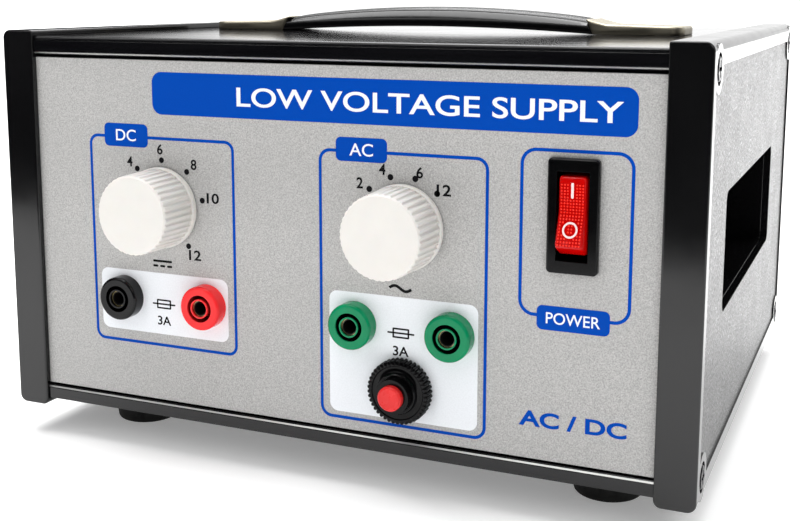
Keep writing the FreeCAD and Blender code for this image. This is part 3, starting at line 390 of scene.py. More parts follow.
def black_aluminium():
    """Black anodised sheet and bars, with a painted highlight line along the bevelled lips of the front
    rails: a narrow band of bright grey metal.
    """
    finish = Finish("black_aluminium", shade(12, 12, 14), 0.09, specular=0.4)
    finish.soft_edges(0.25)
    finish.relief(finish.noise(0.3, detail=2, stretch=(60, 1, 1)), 0.0004)
    grain = finish.noise(1.2, detail=3, stretch=(30, 1, 1))
    finish.colour_between(grain, shade(8, 8, 10), shade(15, 15, 17))
    # Painted highlight: a narrow band of the sloping lips gets a bright metal colour, metallic and rougher.
    sloping = finish.math("MULTIPLY", finish.facing("Z", 0.3, 0.9), finish.facing("Y", 0.3, 0.9))
    front = -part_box("bottom_front_rail")[0].y
    lips = finish.math("MULTIPLY", finish.inside("Y", front - 0.55 * MM, front - 0.15 * MM), sloping)
    lips = finish.math("MULTIPLY", finish.inside("Z", 0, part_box("top_cover")[0].z), lips)
    finish.paint_over(lips, shade(180, 180, 178))
    finish.link(lips, finish.shader.inputs["Metallic"])
    smooth = finish.ramp(finish.noise(3, detail=3, stretch=(10, 1, 1)), 0.07, 0.11)
    finish.link(finish.math("ADD", smooth, finish.math("MULTIPLY", lips, 0.35)),
                finish.shader.inputs["Roughness"])
    return finish


def silver_panel():
    """The silver-grey front sheet, printed with a fine metallic speckle."""
    finish = Finish("panel_silver", shade(195, 194, 192), 0.45, specular=0.2)
    finish.soft_edges(0.2)
    speckle = finish.noise(0.42, detail=2, roughness=0.7)
    finish.colour_between(speckle, shade(149, 148, 147), shade(199, 198, 196))
    finish.paint_over(finish.ramp(finish.noise(25, detail=2), 0, 0.15), shade(169, 168, 167))
    finish.roughness_between(finish.noise(0.3, detail=2), 0.36, 0.52)
    finish.relief(finish.noise(0.28, detail=2), 0.008)
    return finish


def moulded(name, colour, roughness, spread=0.06, grain=0.003, edge=0.2, **sockets):
    """A moulded plastic: slight mottling, fine surface grain and rounded edges."""
    finish = Finish(name, colour, roughness, **sockets)
    if edge:
        finish.soft_edges(edge)
    darker = tuple(level * (1 - spread) for level in colour)
    lighter = tuple(min(1, level * (1 + spread)) for level in colour)
    finish.colour_between(finish.noise(6, detail=3), darker, lighter)
    finish.roughness_between(finish.noise(2.5, detail=3), roughness * 0.85, roughness * 1.2)
    finish.relief(finish.noise(0.35, detail=3), grain)
    return finish


SOCKETS = ("black_socket", "red_socket", "left_green_socket", "right_green_socket")
# Radii in millimetres round each socket's axis where shade is painted: the shroud gap, the bore and the
# contact's bore.
SHROUD_GAP = (2.94, 4.3)
BORE = (0, 2.6)
CONTACT = (0, 2.3)


def socket_plastic(name, colour, nodes, shadow):
    """Glossy plastic with painted shade: the colour is darker by the shadow factor inside the shroud gap
    and down the bore of each socket.
    """
    finish = moulded(name, colour, 0.12, specular=0.2, edge=0)
    masks = []
    for node in nodes:
        centre = middle(node)
        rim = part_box(node)[0].y + 0.5 * MM
        deep = finish.math("GREATER_THAN", finish.part_of(finish.place, "Y"), rim)
        hollow = finish.any_of([finish.ring_round(centre, *SHROUD_GAP), finish.ring_round(centre, *BORE)])
        masks.append(finish.math("MULTIPLY", hollow, deep))
    # Painted shade: the colour times the shadow factor, deep in the gap and down the bore.
    finish.paint_over(finish.any_of(masks), tuple(level * shadow for level in colour))
    return finish


def contacts():
    """Brass contacts, with painted shade down the bores of the front sockets: near black and not metallic
    there.
    """
    finish = plated("contact_brass", shade(190, 172, 120), 0.4, edge=0)
    mask = finish.any_of([finish.ring_round(middle(node), *CONTACT) for node in SOCKETS])
    # Painted shade: near black and not metallic within the contact radius round each socket.
    finish.paint_over(mask, shade(16, 14, 12))
    finish.link(finish.math("SUBTRACT", 1.0, mask), finish.shader.inputs["Metallic"])
    return finish


def plated(name, colour, roughness, stretch=(1, 1, 1), edge=0.15):
    """A plated or bare metal with faint grinding marks."""
    finish = Finish(name, colour, roughness, metallic=1.0)
    if edge:
        finish.soft_edges(edge)
    darker = tuple(level * 0.86 for level in colour)
    finish.colour_between(finish.noise(3, detail=4, stretch=stretch), darker, colour)
    marks = finish.noise(1.5, detail=4, stretch=stretch)
    finish.roughness_between(marks, roughness * 0.75, roughness * 1.3)
    finish.relief(finish.noise(0.2, detail=2, stretch=stretch), 0.003)
    return finish


def rear_paint():
    """Fine powder paint on the rear sheet."""
    finish = Finish("rear_paint", shade(30, 30, 32), 0.4)
    finish.soft_edges(0.3)
    finish.colour_between(finish.noise(0.5, detail=3), shade(22, 22, 24), shade(38, 38, 40))
    finish.roughness_between(finish.noise(1.0, detail=3), 0.35, 0.5)
    finish.relief(finish.noise(0.5, detail=3), 0.03)
    return finish


def foot_rubber():
    """Matt rubber, a little dusty."""
    finish = Finish("foot_rubber", shade(18, 18, 18), 0.7, specular=0.2)
    finish.soft_edges(0.3)
    finish.colour_between(finish.noise(2, detail=4), shade(18, 18, 18), shade(34, 34, 33))
    finish.relief(finish.noise(0.3, detail=3), 0.02)
    return finish


def windings():
    """Taped copper windings, with the layers of turns showing as soft ribs."""
    finish = Finish("winding", shade(178, 110, 60), 0.45, coat=0.3)
    ribs = finish.waves(6.91, "Z", 0.2)
    finish.colour_between(ribs, shade(120, 66, 30), shade(196, 128, 72))
    finish.relief(ribs, 0.1)
    return finish


def laminations():
    """Varnished core steel, with stacks of sheets showing as soft lines."""
    finish = Finish("core_steel", shade(120, 118, 114), 0.4, metallic=0.9)
    sheets = finish.waves(3.14, "Y", 0.1)
    finish.colour_between(sheets, shade(80, 78, 75), shade(140, 138, 133))
    finish.relief(sheets, 0.03)
    return finish


def print_ink(name, colour, roughness=0.35):
    """Screen-printed ink with a slightly uneven film."""
    finish = Finish(name, colour, roughness, specular=0.04)
    darker = tuple(level * 0.93 for level in colour)
    finish.colour_between(finish.noise(0.4, detail=3), darker, colour)
    finish.roughness_between(finish.noise(0.5, detail=2), roughness * 0.85, roughness * 1.15)
    return finish


FINISHES = {
    "frame_plastic": frame_plastic(),
    "black_aluminium": black_aluminium(),
    "panel_silver": silver_panel(),
    "rear_paint": rear_paint(),
    "black_screw": plated("black_screw", shade(34, 34, 36), 0.3),
    "zinc": plated("zinc", shade(200, 201, 196), 0.3),
    "foot_rubber": foot_rubber(),
    "grip_plastic": moulded("grip_plastic", shade(10, 10, 11), 0.2, spread=0.1, grain=0.002,
                            specular=0.45),
    "nickel": plated("nickel", shade(170, 163, 146), 0.4, stretch=(8, 1, 1)),
    "ivory_plastic": moulded("ivory_plastic", shade(226, 223, 218), 0.38, spread=0.015,
                             subsurface=0.08),
    "control_can": plated("control_can", shade(176, 176, 172), 0.35),
    "black_gloss": moulded("black_gloss", shade(8, 8, 9), 0.12, spread=0.15, specular=0.15),
    "rocker_red": moulded("rocker_red", shade(186, 3, 2), 0.12, specular=0.25),
    # The last number of each socket finish is the share of its colour left in its painted shade.
    "socket_black": socket_plastic("socket_black", shade(14, 14, 15), ["black_socket"], 0.2),
    "socket_red": socket_plastic("socket_red", shade(240, 44, 47), ["red_socket"], 0.4),
    "socket_green": socket_plastic("socket_green", shade(0, 130, 84),
                                   ["left_green_socket", "right_green_socket"], 0.03),
    "contact_brass": contacts(),
    "button_red": moulded("button_red", shade(222, 44, 44), 0.28, specular=0.25),
    "core_steel": laminations(),
    "winding": windings(),
    "board": moulded("board", shade(22, 96, 54), 0.35),
    "component": moulded("component", shade(42, 42, 45), 0.4),
    "heatsink": plated("heatsink", shade(190, 191, 192), 0.35, stretch=(1, 1, 12)),
    "wire": moulded("wire", shade(150, 34, 30), 0.4),
    "fuse_glass": Finish("fuse_glass", (0.9, 0.94, 0.94), 0.05, transmission=0.9),
}
INKS = {
    "blue": print_ink("ink_blue", shade(0, 70, 172)),
    "white": print_ink("ink_white", shade(238, 243, 250)),
    "legend": print_ink("ink_legend", shade(246, 224, 222)),
    "plate": print_ink("ink_plate", shade(240, 243, 247), 0.3),
    "black": print_ink("ink_black", shade(24, 24, 26)),
}


def finish_cad_nodes():
    """Gives each CAD node the finish of its own material slot."""
    for name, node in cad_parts.items():
        for index, material in enumerate(node.data.materials):
            slot = material.name.split(".")[0]
            node.data.materials[index] = FINISHES[slot].material


# ---------------------------------------------------------------- making pieces

# How far the back and the front of each film of print stand off its surface.
FIRST_FILM = (0.0, 0.05)
SECOND_FILM = (0.05, 0.09)
TAG_FILM = (0.0, 0.07)
TAG_WORDS_FILM = (0.07, 0.1)
LEGEND_FILM = (-0.02, 0.06)
DOT_FILM = (-0.02, 0.08)
SHARP_ANGLE = 40


def new_piece(name, mesh, finish, body="chassis"):
    """Puts a mesh in the scene as a piece that rides on a body, or on none yet."""
    piece = bpy.data.objects.new(name, mesh)
    bpy.context.scene.collection.objects.link(piece)
    mesh.materials.clear()
    mesh.materials.append(finish.material)
    if body is not None:
        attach(piece, body)
    return piece


def mesh_data(name, mesh):
    """The finished data of a bmesh, with its faces turned outwards."""
    bmesh.ops.recalc_face_normals(mesh, faces=mesh.faces)
    data = bpy.data.meshes.new(name)
    mesh.to_mesh(data)
    mesh.free()
    return data


def smooth_piece(name, mesh, slot, body):
    """A piece with the finish of its slot, shaded smooth except across sharp edges."""
    data = mesh_data(name, mesh)
    data.shade_smooth()
    data.set_sharp_from_angle(angle=math.radians(SHARP_ANGLE))
    return new_piece(name, data, FINISHES[slot], body)


def on_panel(x, height, lift):
    """A point in front of the panel's face, from millimetres."""
    return Vector((x * MM, PANEL_FACE - lift * MM, FOOT_LINE + height * MM))


def on_surface(node):
    """Like on_panel, but the point is lifted off the front surface of a CAD node."""
    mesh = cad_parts[node].data
    tree = BVHTree.FromPolygons([v.co for v in mesh.vertices], [p.vertices for p in mesh.polygons])

    def placed(x, height, lift):
        start = on_panel(x, height, 100)
        hit, normal, _, _ = tree.ray_cast(start, Vector((0, 1, 0)))
        if normal.y > 0:
            normal = -normal
        return hit + normal * lift * MM
    return placed


def bridge(mesh, first, second, closed=True):
    """Faces between two rows of vertices that have the same length."""
    for index in range(len(first) if closed else len(first) - 1):
        after = (index + 1) % len(first)
        mesh.faces.new((first[index], first[after], second[after], second[index]))


def add_skin(mesh, rings):
    """A closed tube through the rings, with a flat face over each end."""
    for first, second in zip(rings, rings[1:]):
        bridge(mesh, first, second)
    mesh.faces.new(rings[0])
    mesh.faces.new(rings[-1])


def add_slab(mesh, outer, inner=None, film=FIRST_FILM, at=on_panel):
    """Adds a thin solid with this outline, and a hole where an inner outline is given."""
    low, high = film

    def ring(points, lift):
        return [mesh.verts.new(at(x, height, lift)) for x, height in points]

    walls = [(ring(outer, high), ring(outer, low))]
    if inner is None:
        mesh.faces.new(walls[0][0])
        mesh.faces.new(list(reversed(walls[0][1])))
    else:
        walls.append((ring(inner, high), ring(inner, low)))
        bridge(mesh, walls[0][0], walls[1][0])
        bridge(mesh, walls[1][1], walls[0][1])
    for front, back in walls:
        bridge(mesh, back, front)


def rounded(low_x, low_z, high_x, high_z, radius, steps=8):
    """The outline of a rectangle with round corners, anticlockwise from the front."""
    points = []
    centres = ((high_x - radius, low_z + radius, -90), (high_x - radius, high_z - radius, 0),
               (low_x + radius, high_z - radius, 90), (low_x + radius, low_z + radius, 180))
    for x, height, start in centres:
        for step in range(steps + 1):
            angle = math.radians(start + 90 * step / steps)
            points.append((x + radius * math.cos(angle), height + radius * math.sin(angle)))
    return points


def shrunk(box, by):
    """A box's numbers with every side moved in."""
    low_x, low_z, high_x, high_z, radius = box
    return low_x + by, low_z + by, high_x - by, high_z - by, max(radius - by, 0.05)


def disc(x, height, radius, steps=40):
    angles = [2 * math.pi * step / steps for step in range(steps)]
    return [(x + radius * math.cos(angle), height + radius * math.sin(angle)) for angle in angles]


def bar(low_x, high_x, height, thick):
    """A short printed line with round ends."""
    return rounded(low_x, height - thick / 2, high_x, height + thick / 2, thick * 0.49, steps=4)


def printed(name, ink, shapes, film=FIRST_FILM, body="chassis", at=on_panel):
    """One piece of print from several (outer, inner) outlines."""
    mesh = bmesh.new()
    for outer, inner in shapes:
        add_slab(mesh, outer, inner, film, at)
    new_piece(name, mesh_data(name, mesh), INKS[ink], body)


def flat_mesh(name, curve):
    """The mesh of a flat curve, which lies in its own XY plane and is one unit thick."""
    curve.extrude = 0.5
    holder = bpy.data.objects.new(name, curve)
    mesh = bpy.data.meshes.new_from_object(holder)
    bpy.data.objects.remove(holder)
    return mesh


def lettering(name, words, ink, centre, height, width, bold, film):
    """Words in the plain built-in typeface, fitted to a height and a width."""
    curve = bpy.data.curves.new(name, "FONT")
    curve.body = words
    curve.offset = bold
    curve.resolution_u = 6
    mesh = flat_mesh(name, curve)
    xs = [vertex.co.x for vertex in mesh.vertices]
    ys = [vertex.co.y for vertex in mesh.vertices]
    scale_x, scale_y = width / (max(xs) - min(xs)), height / (max(ys) - min(ys))
    middle_x, middle_y = (max(xs) + min(xs)) / 2, (max(ys) + min(ys)) / 2
    low, high = film
    for vertex in mesh.vertices:
        x = centre[0] + (vertex.co.x - middle_x) * scale_x
        z = centre[1] + (vertex.co.y - middle_y) * scale_y
        vertex.co = on_panel(x, z, low + (vertex.co.z + 0.5) * (high - low))
    new_piece(name, mesh, INKS[ink])


def plate(name, box, holes):
    """A white printed plate that leaves the sockets and the breaker free."""
    curve = bpy.data.curves.new(name, "CURVE")
    curve.dimensions = "2D"
    curve.fill_mode = "BOTH"
    for outline in [rounded(*box)] + [disc(*panel_place(middle(node)), radius) for node, radius in holes]:
        spline = curve.splines.new("POLY")
        spline.points.add(len(outline) - 1)
        for point, (x, height) in zip(spline.points, outline):
            point.co = (x, height, 0, 1)
        spline.use_cyclic_u = True
    mesh = flat_mesh(name, curve)
    for vertex in mesh.vertices:
        vertex.co = on_panel(vertex.co.x, vertex.co.y, FIRST_FILM[1] * (vertex.co.z + 0.5))
    new_piece(name, mesh, INKS["plate"])


# ---------------------------------------------------------------- front panel print

# A box is its left, low, right and high sides and its corners' radius.
TITLE_BAR = (-56.1, 98.1, 92.2, 111.0, 3.3)

# Words, ink, centre, height, width, boldness and film.
PANEL_WORDS = {
    "title_words": ("LOW VOLTAGE SUPPLY", "white", (31.0, 104.4), 5.7, 114.8, 0.012, SECOND_FILM),
    "corner_words": ("AC / DC", "blue", (76.8, 19.1), 4.5, 30.0, 0.03, FIRST_FILM),
}

# Letters are their height and the share of the tag's width that they fill.
BOXES = {
    "dc": {"box": (-80.0, 25.0, -27.7, 91.2, 3.2), "tag": (-74.2, 87.6, -58.2, 94.8, 1.6),
           "words": "DC", "letters": (3.6, 0.46)},
    "ac": {"box": (0.5, 10.6, 52.2, 90.8, 3.6), "tag": (6.0, 87.4, 22.0, 94.3, 1.6),
           "words": "AC", "letters": (3.6, 0.46)},
    "power": {"box": (61.0, 48.2, 91.9, 94.2, 4.4), "tag": (66.3, 44.7, 86.4, 51.5, 1.6),
              "words": "POWER", "letters": (3.2, 0.74)},
}
STROKE = 0.92
SOCKET_HOLE = 6.3
BREAKER_HOLE = 5.6
PLATES = {
    "dc_plate": {"box": (-77.3, 29.0, -30.8, 48.6, 2.6),
                 "holes": (("black_socket", SOCKET_HOLE), ("red_socket", SOCKET_HOLE))},
    "ac_plate": {"box": (3.6, 12.8, 49.6, 49.3, 2.6),
                 "holes": (("left_green_socket", SOCKET_HOLE), ("right_green_socket", SOCKET_HOLE),
                           ("breaker_nut", BREAKER_HOLE))},
}
DOT_CIRCLE = 14.6
DOT_RADIUS = 0.9
NUMERAL_TALL = 3.2
NUMERAL_PITCH = 2.3
NUMERAL_GAP = 0.3

# Each mark is its dot's angle and its numeral's place, across and up from the knob's centre.
DIALS = {
    "dc": {"centre": DC_KNOB,
           "marks": {"4": (-38, -11.7, 13.6), "6": (0, -0.5, 17.9), "8": (38, 11.5, 13.8),
                     "10": (78, 18.0, 3.9), "12": (142, 11.2, -14.2)}},
    "ac": {"centre": AC_KNOB,
           "marks": {"2": (-45, -13.3, 11.9), "4": (-15, -6.3, 16.2), "6": (15, 5.1, 15.9),
                     "12": (45, 12.3, 11.4)}},
}

DIRECT_LEFT, DIRECT_RIGHT = -57.6, -50.6
DIRECT_LINE, DIRECT_DASHES = 52.4, 50.85
DIRECT_THICK = 0.72
DASH_LONG, DASH_PITCH = 1.9, 2.55
WAVE_LEFT, WAVE_LONG = 22.7, 6.8
WAVE_MIDDLE, WAVE_SWING = 51.8, 0.75
WAVE_HALF_THICK = 0.42
WAVE_STEPS = 24
FUSE_SIGNS = {"dc": -54.0, "ac": 26.3}
FUSE_MIDDLE = 38.7
FUSE_HALF_WIDE, FUSE_HALF_TALL, FUSE_LEAD = 2.6, 1.5, 4.2
FUSE_LINE = 0.5
RATING_MIDDLE = 33.4


def panel_place(point):
    """A point's x and height in panel millimetres."""
    return point.x / MM, (point.z - FOOT_LINE) / MM


def print_title():
    printed("title_bar", "blue", [(rounded(*TITLE_BAR), None)])
    for name, words in PANEL_WORDS.items():
        lettering(name, *words)


def print_boxes():
    for name, parts in BOXES.items():
        box, tag = parts["box"], parts["tag"]
        printed(f"{name}_outline", "blue", [(rounded(*box), rounded(*shrunk(box, STROKE)))])
        printed(f"{name}_tag", "blue", [(rounded(*tag), None)], TAG_FILM)
        centre = ((tag[0] + tag[2]) / 2, (tag[1] + tag[3]) / 2)
        tall, share = parts["letters"]
        lettering(f"{name}_tag_words", parts["words"], "white", centre, tall, (tag[2] - tag[0]) * share,
                  0.006, TAG_WORDS_FILM)
    for name, parts in PLATES.items():
        plate(name, parts["box"], parts["holes"])


def print_dials():
    for name, dial in DIALS.items():
        x, height = panel_place(dial["centre"])
        dots = []
        for words, (angle, across, up) in dial["marks"].items():
            turn = math.radians(angle)
            dots.append((disc(x + DOT_CIRCLE * math.sin(turn), height + DOT_CIRCLE * math.cos(turn),
                              DOT_RADIUS, 20), None))
            lettering(f"{name}_numeral_{words}", words, "black", (x + across, height + up), NUMERAL_TALL,
                      NUMERAL_PITCH * len(words) - NUMERAL_GAP, 0.02, FIRST_FILM)
        printed(f"{name}_dots", "black", dots)


def print_symbols():
    """The direct and alternating current signs, and a fuse sign with its rating on each plate."""
    lines = [(bar(DIRECT_LEFT, DIRECT_RIGHT, DIRECT_LINE, DIRECT_THICK), None)]
    for left in (DIRECT_LEFT + DASH_PITCH * step for step in range(3)):
        lines.append((bar(left, left + DASH_LONG, DIRECT_DASHES, DIRECT_THICK), None))
    printed("dc_symbol", "black", lines)

    upper, lower = [], []
    for step in range(WAVE_STEPS + 1):
        angle = 2 * math.pi * step / WAVE_STEPS
        x = WAVE_LEFT + WAVE_LONG * step / WAVE_STEPS
        height = WAVE_MIDDLE + WAVE_SWING * math.sin(angle)
        slope = math.atan(WAVE_SWING * 2 * math.pi / WAVE_LONG * math.cos(angle))
        across, up = WAVE_HALF_THICK * math.sin(slope), WAVE_HALF_THICK * math.cos(slope)
        upper.append((x - across, height + up))
        lower.append((x + across, height - up))
    printed("ac_symbol", "black", [(lower + upper[::-1], None)])

    for name, x in FUSE_SIGNS.items():
        box = (x - FUSE_HALF_WIDE, FUSE_MIDDLE - FUSE_HALF_TALL, x + FUSE_HALF_WIDE,
               FUSE_MIDDLE + FUSE_HALF_TALL, 0.3)
        body = rounded(*box), rounded(*shrunk(box, FUSE_LINE))
        lead = bar(x - FUSE_LEAD, x + FUSE_LEAD, FUSE_MIDDLE, FUSE_LINE), None
        printed(f"{name}_fuse_symbol", "black", [body, lead], SECOND_FILM)
        lettering(f"{name}_rating", "3A", "black", (x, RATING_MIDDLE), 2.9, 4.9, 0.016, SECOND_FILM)


# ---------------------------------------------------------------- power switch

ROCKER_TILT = 11
ROCKER_PIVOT_BACK = 4.0
ROCKER_CENTRE = 6.4
ROCKER_HALF = 9.3
ROCKER_SKIRT, ROCKER_WIDEST = 3.0, 10.9
ROCKER_HEEL, ROCKER_HEEL_HALF = 3.0, 7.0
ROCKER_DRAFT = 0.03

# The right edge's columns: how far across each is and how far its face is set back.
ROCKER_EDGE = ((3.2, 0), (3.4, 0.15), (3.95, 1.5), (4.1, 2.8))
ROCKER_COLUMNS = [(-across, back) for across, back in ROCKER_EDGE[::-1]] + list(ROCKER_EDGE)

LINE_HALF_WIDE = 0.34
LINE_LOW, LINE_HIGH = 5.1, 9.2
RING_HEIGHT = -3.1
RING_OUTER, RING_INNER = 2.05, 1.55
LEGEND_CLEAR = 0.3
DOT_PITCH = 0.82
DOT_COLUMNS, DOT_ROWS = 8, 24
DOTS_LOW, DOTS_HIGH = -7.2, 9.2
FINE_DOT_RADIUS = 0.27


def filleted(corners, steps=5):
    """A closed outline from corners given as (across, up, radius)."""
    points = []
    for index, (across, up, radius) in enumerate(corners):
        here = Vector((across, up))
        before = (Vector(corners[index - 1][:2]) - here).normalized()
        after = (Vector(corners[(index + 1) % len(corners)][:2]) - here).normalized()
        half = before.angle(after) / 2
        centre = here + (before + after).normalized() * radius / math.sin(half)
        start, end = (here + side * radius / math.tan(half) - centre for side in (before, after))
        for step in range(steps + 1 if radius else 1):
            points.append(centre + start.lerp(end, step / steps).normalized() * radius)
    return points


def rocker():
    """The red rocker: two faces that meet in a shallow valley, on a body that widens to the back."""
    corner = -ROCKER_CENTRE - ROCKER_HALF * math.tan(math.radians(ROCKER_TILT))
    lower = [(corner, -ROCKER_HALF, 0.7), (-ROCKER_SKIRT, -ROCKER_WIDEST, 0.6),
             (ROCKER_HEEL, -ROCKER_HEEL_HALF, 0)]
    upper = [(across, -up, radius) for across, up, radius in lower[::-1]]
    outline = filleted([(-ROCKER_CENTRE, 0, 0)] + lower + upper)
    pivot = Vector((SWITCH.x, PANEL_FACE + ROCKER_PIVOT_BACK * MM, SWITCH.z))
    turn = Matrix.Rotation(math.radians(-ROCKER_TILT), 4, "X")
    mesh = bmesh.new()
    rings = []
    for x, inset in ROCKER_COLUMNS:
        ring = []
        for y, z in outline:
            share = (ROCKER_HEEL - y) / (ROCKER_HEEL - corner)
            place = Vector((x, y + inset * share, z * (1 - ROCKER_DRAFT * inset * share)))
            ring.append(mesh.verts.new(pivot + turn @ place * MM))
        rings.append(ring)
    add_skin(mesh, rings)
    piece = smooth_piece("rocker_shell", mesh, "rocker_red", "power_rocker")
    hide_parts("power_switch_rocker")


def rocker_details():
    """The white I and O and the fine raised dots on the rocker's two faces."""
    x, height = panel_place(SWITCH)
    surface = on_surface("power_switch_rocker")
    line = rounded(x - LINE_HALF_WIDE, height + LINE_LOW, x + LINE_HALF_WIDE, height + LINE_HIGH, 0.2,
                   steps=3)
    ring = disc(x, height + RING_HEIGHT, RING_OUTER), disc(x, height + RING_HEIGHT, RING_INNER)
    printed("rocker_legend", "legend", [(line, None), ring], LEGEND_FILM, "power_rocker",
            surface)
    mesh = bmesh.new()
    for column in range(DOT_COLUMNS):
        for row in range(DOT_ROWS):
            across = (column - (DOT_COLUMNS - 1) / 2) * DOT_PITCH
            up = (row - (DOT_ROWS - 1) / 2) * DOT_PITCH
            beside_line = abs(across) < LINE_HALF_WIDE + LEGEND_CLEAR
            near_line = beside_line and LINE_LOW - LEGEND_CLEAR < up < LINE_HIGH + LEGEND_CLEAR
            from_ring = math.hypot(across, up - RING_HEIGHT)
            near_ring = RING_INNER - LEGEND_CLEAR < from_ring < RING_OUTER + LEGEND_CLEAR
            if near_line or near_ring or not DOTS_LOW < up < DOTS_HIGH:
                continue
            add_slab(mesh, disc(x + across, height + up, FINE_DOT_RADIUS, 8), None, DOT_FILM, surface)
    # Painted highlight: the raised dots are a lighter copy of the rocker's red.
    dots = moulded("rocker_dot_lit_red", shade(248, 44, 30), 0.2, specular=0.3)
    new_piece("rocker_dots", mesh_data("rocker_dots", mesh), dots, "power_rocker")


# ---------------------------------------------------------------- breaker nut

NUT_TEETH = 42
NUT_STEPS = 8
NUT_TOOTH = 0.75
NUT_BLUNT = 0.7

# From the bore's foot round the rim to the bore's mouth: radius, height off the panel, share of a tooth.
NUT_PROFILE = ((5.2, 0.05, 0), (8.5, 0.05, 0.3), (8.75, 0.3, 1), (8.75, 3.5, 1), (8.6, 3.8, 1),
               (8.2, 4.05, 0.4), (7.95, 4.05, 0), (7.75, 3.7, 0), (6.45, 3.7, 0), (6.15, 3.9, 0),
               (6.0, 5.0, 0), (5.7, 5.3, 0), (5.2, 5.3, 0))


def breaker_nut():
    """The ring nut round the reset button: a toothed rim, a raised border and a hub."""
    x, height = panel_place(middle("breaker_nut"))
    mesh = bmesh.new()
    spokes = []
    for step in range(NUT_TEETH * NUT_STEPS):
        angle = 2 * math.pi * step / (NUT_TEETH * NUT_STEPS)
        tooth = NUT_TOOTH * abs(math.cos(NUT_TEETH / 2 * angle)) ** NUT_BLUNT
        spokes.append([mesh.verts.new(on_panel(x + (radius + tooth * share) * math.sin(angle),
                                               height + (radius + tooth * share) * math.cos(angle), lift))
                       for radius, lift, share in NUT_PROFILE])
    for first, second in zip(spokes, spokes[1:] + spokes[:1]):
        bridge(mesh, first, second)
    piece = smooth_piece("breaker_ring_nut", mesh, "black_gloss", "chassis")
    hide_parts("breaker_nut")


# ---------------------------------------------------------------- handle

GRIP_HALF = 58.0
GRIP_SLANT = 2.3
GRIP_SIDE = 11.5
GRIP_LOW, GRIP_RISE = 0.1, 2.0
GRIP_END, GRIP_CROWN = 5.1, 8.8
GRIP_TOP_HALF = 8.1
GRIP_RIDGES, GRIP_RIDGE_DEEP = 4, 0.16
GRIP_TOP_CURVE = 0.75
GRIP_END_ROUND = 0.25
GRIP_SLANT_POWER = 12

# Half the grip's side: across, share of the height at that place, and height added to it.
GRIP_FLANK = ((0, 0, 0), (6, 0, 0), (10.9, 0, 0), (11.35, 0, 0.2), (GRIP_SIDE, 0, 0.6), (GRIP_SIDE, 0, 2.5),
              (11.35, 0, 2.85), (9.6, 1, -1.5), (9.3, 1, -1.35), (9.05, 1, -1.75), (8.6, 1, -1.75),
              (8.4, 1, -1.15), (GRIP_TOP_HALF, 1, -0.85))

STRAP_HALF, STRAP_SLOT_HALF = 7.45, 2.35
STRAP_LOW, STRAP_RISE, STRAP_THICK = 0.9, 3.0, 0.8
STRAP_TONGUE = (63.0, 69.6, 72.4, 75.2, 78.0, 81.0, 84.5)
STRAP_SLOT = (69.0, 80.9)

CAP_START, CAP_FLARE, CAP_END = 58.15, 63.6, 87.5
CAP_CORNER, CAP_EDGE, CAP_WALL = 5.0, 0.8, 0.5
CAP_MOUTH_RISE, CAP_NECK, CAP_TOE = 1.7, 3.4, 2.9
CAP_FLARE_POWER = 1.8
CAP_CROWN = 0.06


def handle_point(x, y, z):
    """A point from millimetres along, across and above the top cover at the handle."""
    return Vector((x * MM, HANDLE_Y + y * MM, COVER_TOP + z * MM))


def grip_section():
    """Half the grip's outline as (across, share of the height, extra height), from below to the top."""
    points = list(GRIP_FLANK)
    steps = 32
    for step in range(1, steps + 1):
        across = GRIP_TOP_HALF * (1 - step / steps)
        ridge = GRIP_RIDGE_DEEP * (0.5 - 0.5 * math.cos(2 * math.pi * GRIP_RIDGES * step / steps))
        points.append((across, 1, -GRIP_TOP_CURVE * (across / GRIP_TOP_HALF) ** 2 - ridge))
    return points


def side_name(piece, side):
    return f"{piece}_right_half" if side > 0 else f"{piece}_left_half"


def blended_half(name, mesh, slot, node):
    """Half of a piece that reaches from the handle's middle to a cap, put on no body, with its place baked
    into its mesh, in place of its CAD node, which is hidden.
    """
    piece = smooth_piece(name, mesh, slot, None)
    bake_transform(piece)
    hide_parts(node)


def grip_half(side):
    """One half of the grip, arched and bevelled off where it meets its cap."""
    section = grip_section()
    loop = section + [(-across, share, extra) for across, share, extra in section[-2:0:-1]]
    mesh = bmesh.new()
    rings = []
    for station in [step / 30 for step in range(30)] + [0.985, 0.995, 1.0]:
        inset = GRIP_END_ROUND if station == 1.0 else 0.0
        x = station * GRIP_HALF
        arch = 1 - (x / GRIP_HALF) ** 2
        low = GRIP_LOW + GRIP_RISE * arch
        high = GRIP_END + (GRIP_CROWN - GRIP_END) * arch
        ring = []
        for across, share, extra in loop:
            z = low + (high - low) * share + extra
            up = (z - low) / (high - low)
            slant = GRIP_SLANT * up * station ** GRIP_SLANT_POWER
            ring.append(mesh.verts.new(handle_point(side * (x - slant), across * (1 - inset / GRIP_SIDE),
                                                    z + inset * (1 - 2 * up))))
        rings.append(ring)
    add_skin(mesh, rings)
    blended_half(side_name("grip", side), mesh, "grip_plastic", "handle_grip")


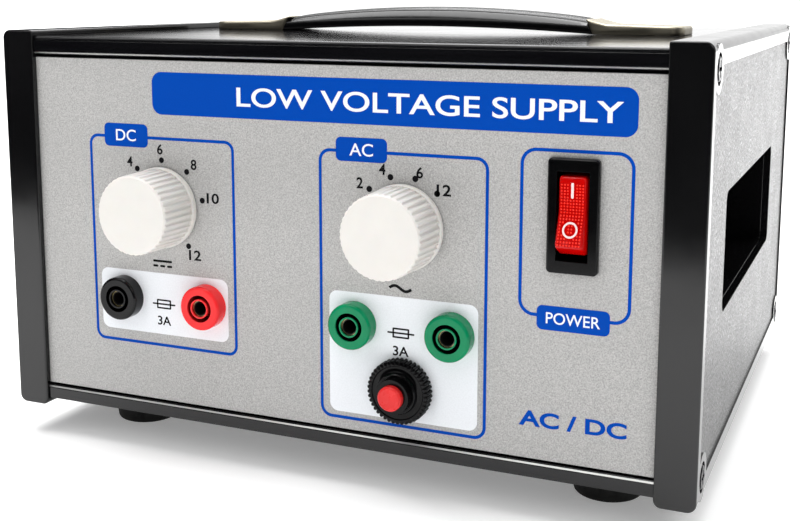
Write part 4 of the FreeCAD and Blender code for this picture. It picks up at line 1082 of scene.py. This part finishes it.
def strap_half(side):
    """One half of the steel strap inside the grip, with the slot in its tongue."""
    mesh = bmesh.new()
    across = (-STRAP_HALF, -STRAP_SLOT_HALF, STRAP_SLOT_HALF, STRAP_HALF)
    along = [GRIP_HALF * step / 16 for step in range(17)] + list(STRAP_TONGUE)
    grid = []
    for x in along:
        rise = STRAP_RISE * max(0, 1 - (x / GRIP_HALF) ** 2)
        grid.append([mesh.verts.new(handle_point(side * x, y, STRAP_LOW + rise)) for y in across])
    for row, (first, second) in enumerate(zip(grid, grid[1:])):
        slotted = STRAP_SLOT[0] < along[row] < STRAP_SLOT[1]
        for column in (0, 2) if slotted else (0, 1, 2):
            mesh.faces.new((first[column], first[column + 1], second[column + 1], second[column]))
    bmesh.ops.recalc_face_normals(mesh, faces=mesh.faces)
    down = mesh.faces[:][0].normal.z < 0
    thick = STRAP_THICK * MM * (-1 if down else 1)
    bmesh.ops.solidify(mesh, geom=mesh.faces[:], thickness=thick)
    blended_half(side_name("strap", side), mesh, "zinc", "handle_strap")


def quarter_round(past, radius):
    """How far a quarter circle has dropped this far past the place where it starts."""
    return radius - math.sqrt(max(radius ** 2 - past ** 2, 0))


def cap_stations():
    """Places along a cap, closer together where it flares and where its corners and edge turn."""
    stations = [CAP_START + (CAP_FLARE - CAP_START) * step / 8 for step in range(9)]
    stations += [67, 72, 77, CAP_END - CAP_CORNER]
    stations += [CAP_END - CAP_CORNER + (CAP_CORNER - CAP_EDGE) * math.sin(math.radians(90 * step / 6))
                 for step in range(1, 7)]
    stations += [CAP_END - CAP_EDGE + CAP_EDGE * math.sin(math.radians(90 * step / 4))
                 for step in range(1, 5)]
    return stations


def cap_profile(x):
    """The outline of a cap across the handle at one place, as (across, height)."""
    half = GRIP_SIDE - quarter_round(max(x - CAP_END + CAP_CORNER, 0), CAP_CORNER)
    if x < CAP_FLARE:
        top = CAP_NECK + CAP_MOUTH_RISE * ((CAP_FLARE - x) / (CAP_FLARE - CAP_START)) ** CAP_FLARE_POWER
    else:
        top = CAP_TOE + (CAP_NECK - CAP_TOE) * (CAP_END - x) / (CAP_END - CAP_FLARE)
    top -= quarter_round(max(x - CAP_END + CAP_EDGE, 0), CAP_EDGE)
    profile = [(half, 0.1), (half, (top - CAP_EDGE) * 0.5)]
    for step in range(6):
        angle = math.radians(90 * step / 5)
        profile.append((half - CAP_EDGE + CAP_EDGE * math.cos(angle),
                        top - CAP_EDGE + CAP_EDGE * math.sin(angle)))
    profile.append((half * 0.45, top + CAP_CROWN))
    return profile + [(-across, z) for across, z in profile[::-1]]


def cap(side):
    """A bright end cap: a thin pressed shell that flares up over the slanted end of the grip."""
    mesh = bmesh.new()
    rings = []
    for x in cap_stations():
        lean = GRIP_SLANT * max(0.0, (CAP_FLARE - x) / (CAP_FLARE - CAP_START)) ** 2
        rings.append([mesh.verts.new(handle_point(side * (x - lean * z / GRIP_END), across, z))
                      for across, z in cap_profile(x)])
    for first, second in zip(rings, rings[1:]):
        bridge(mesh, first, second, closed=False)
    mesh.faces.new(rings[-1])
    piece = smooth_piece("right_cap_shell" if side > 0 else "left_cap_shell", mesh, "nickel", "chassis")
    shell = piece.modifiers.new("wall", "SOLIDIFY")
    shell.thickness = CAP_WALL * MM
    shell.offset = -1
    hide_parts("right_handle_cap" if side > 0 else "left_handle_cap")


def handle():
    for side in (1, -1):
        grip_half(side)
        strap_half(side)
        cap(side)


# ---------------------------------------------------------------- build

add_stage()
finish_cad_nodes()
print_title()
print_boxes()
print_dials()
print_symbols()
rocker()
rocker_details()
breaker_nut()
handle()
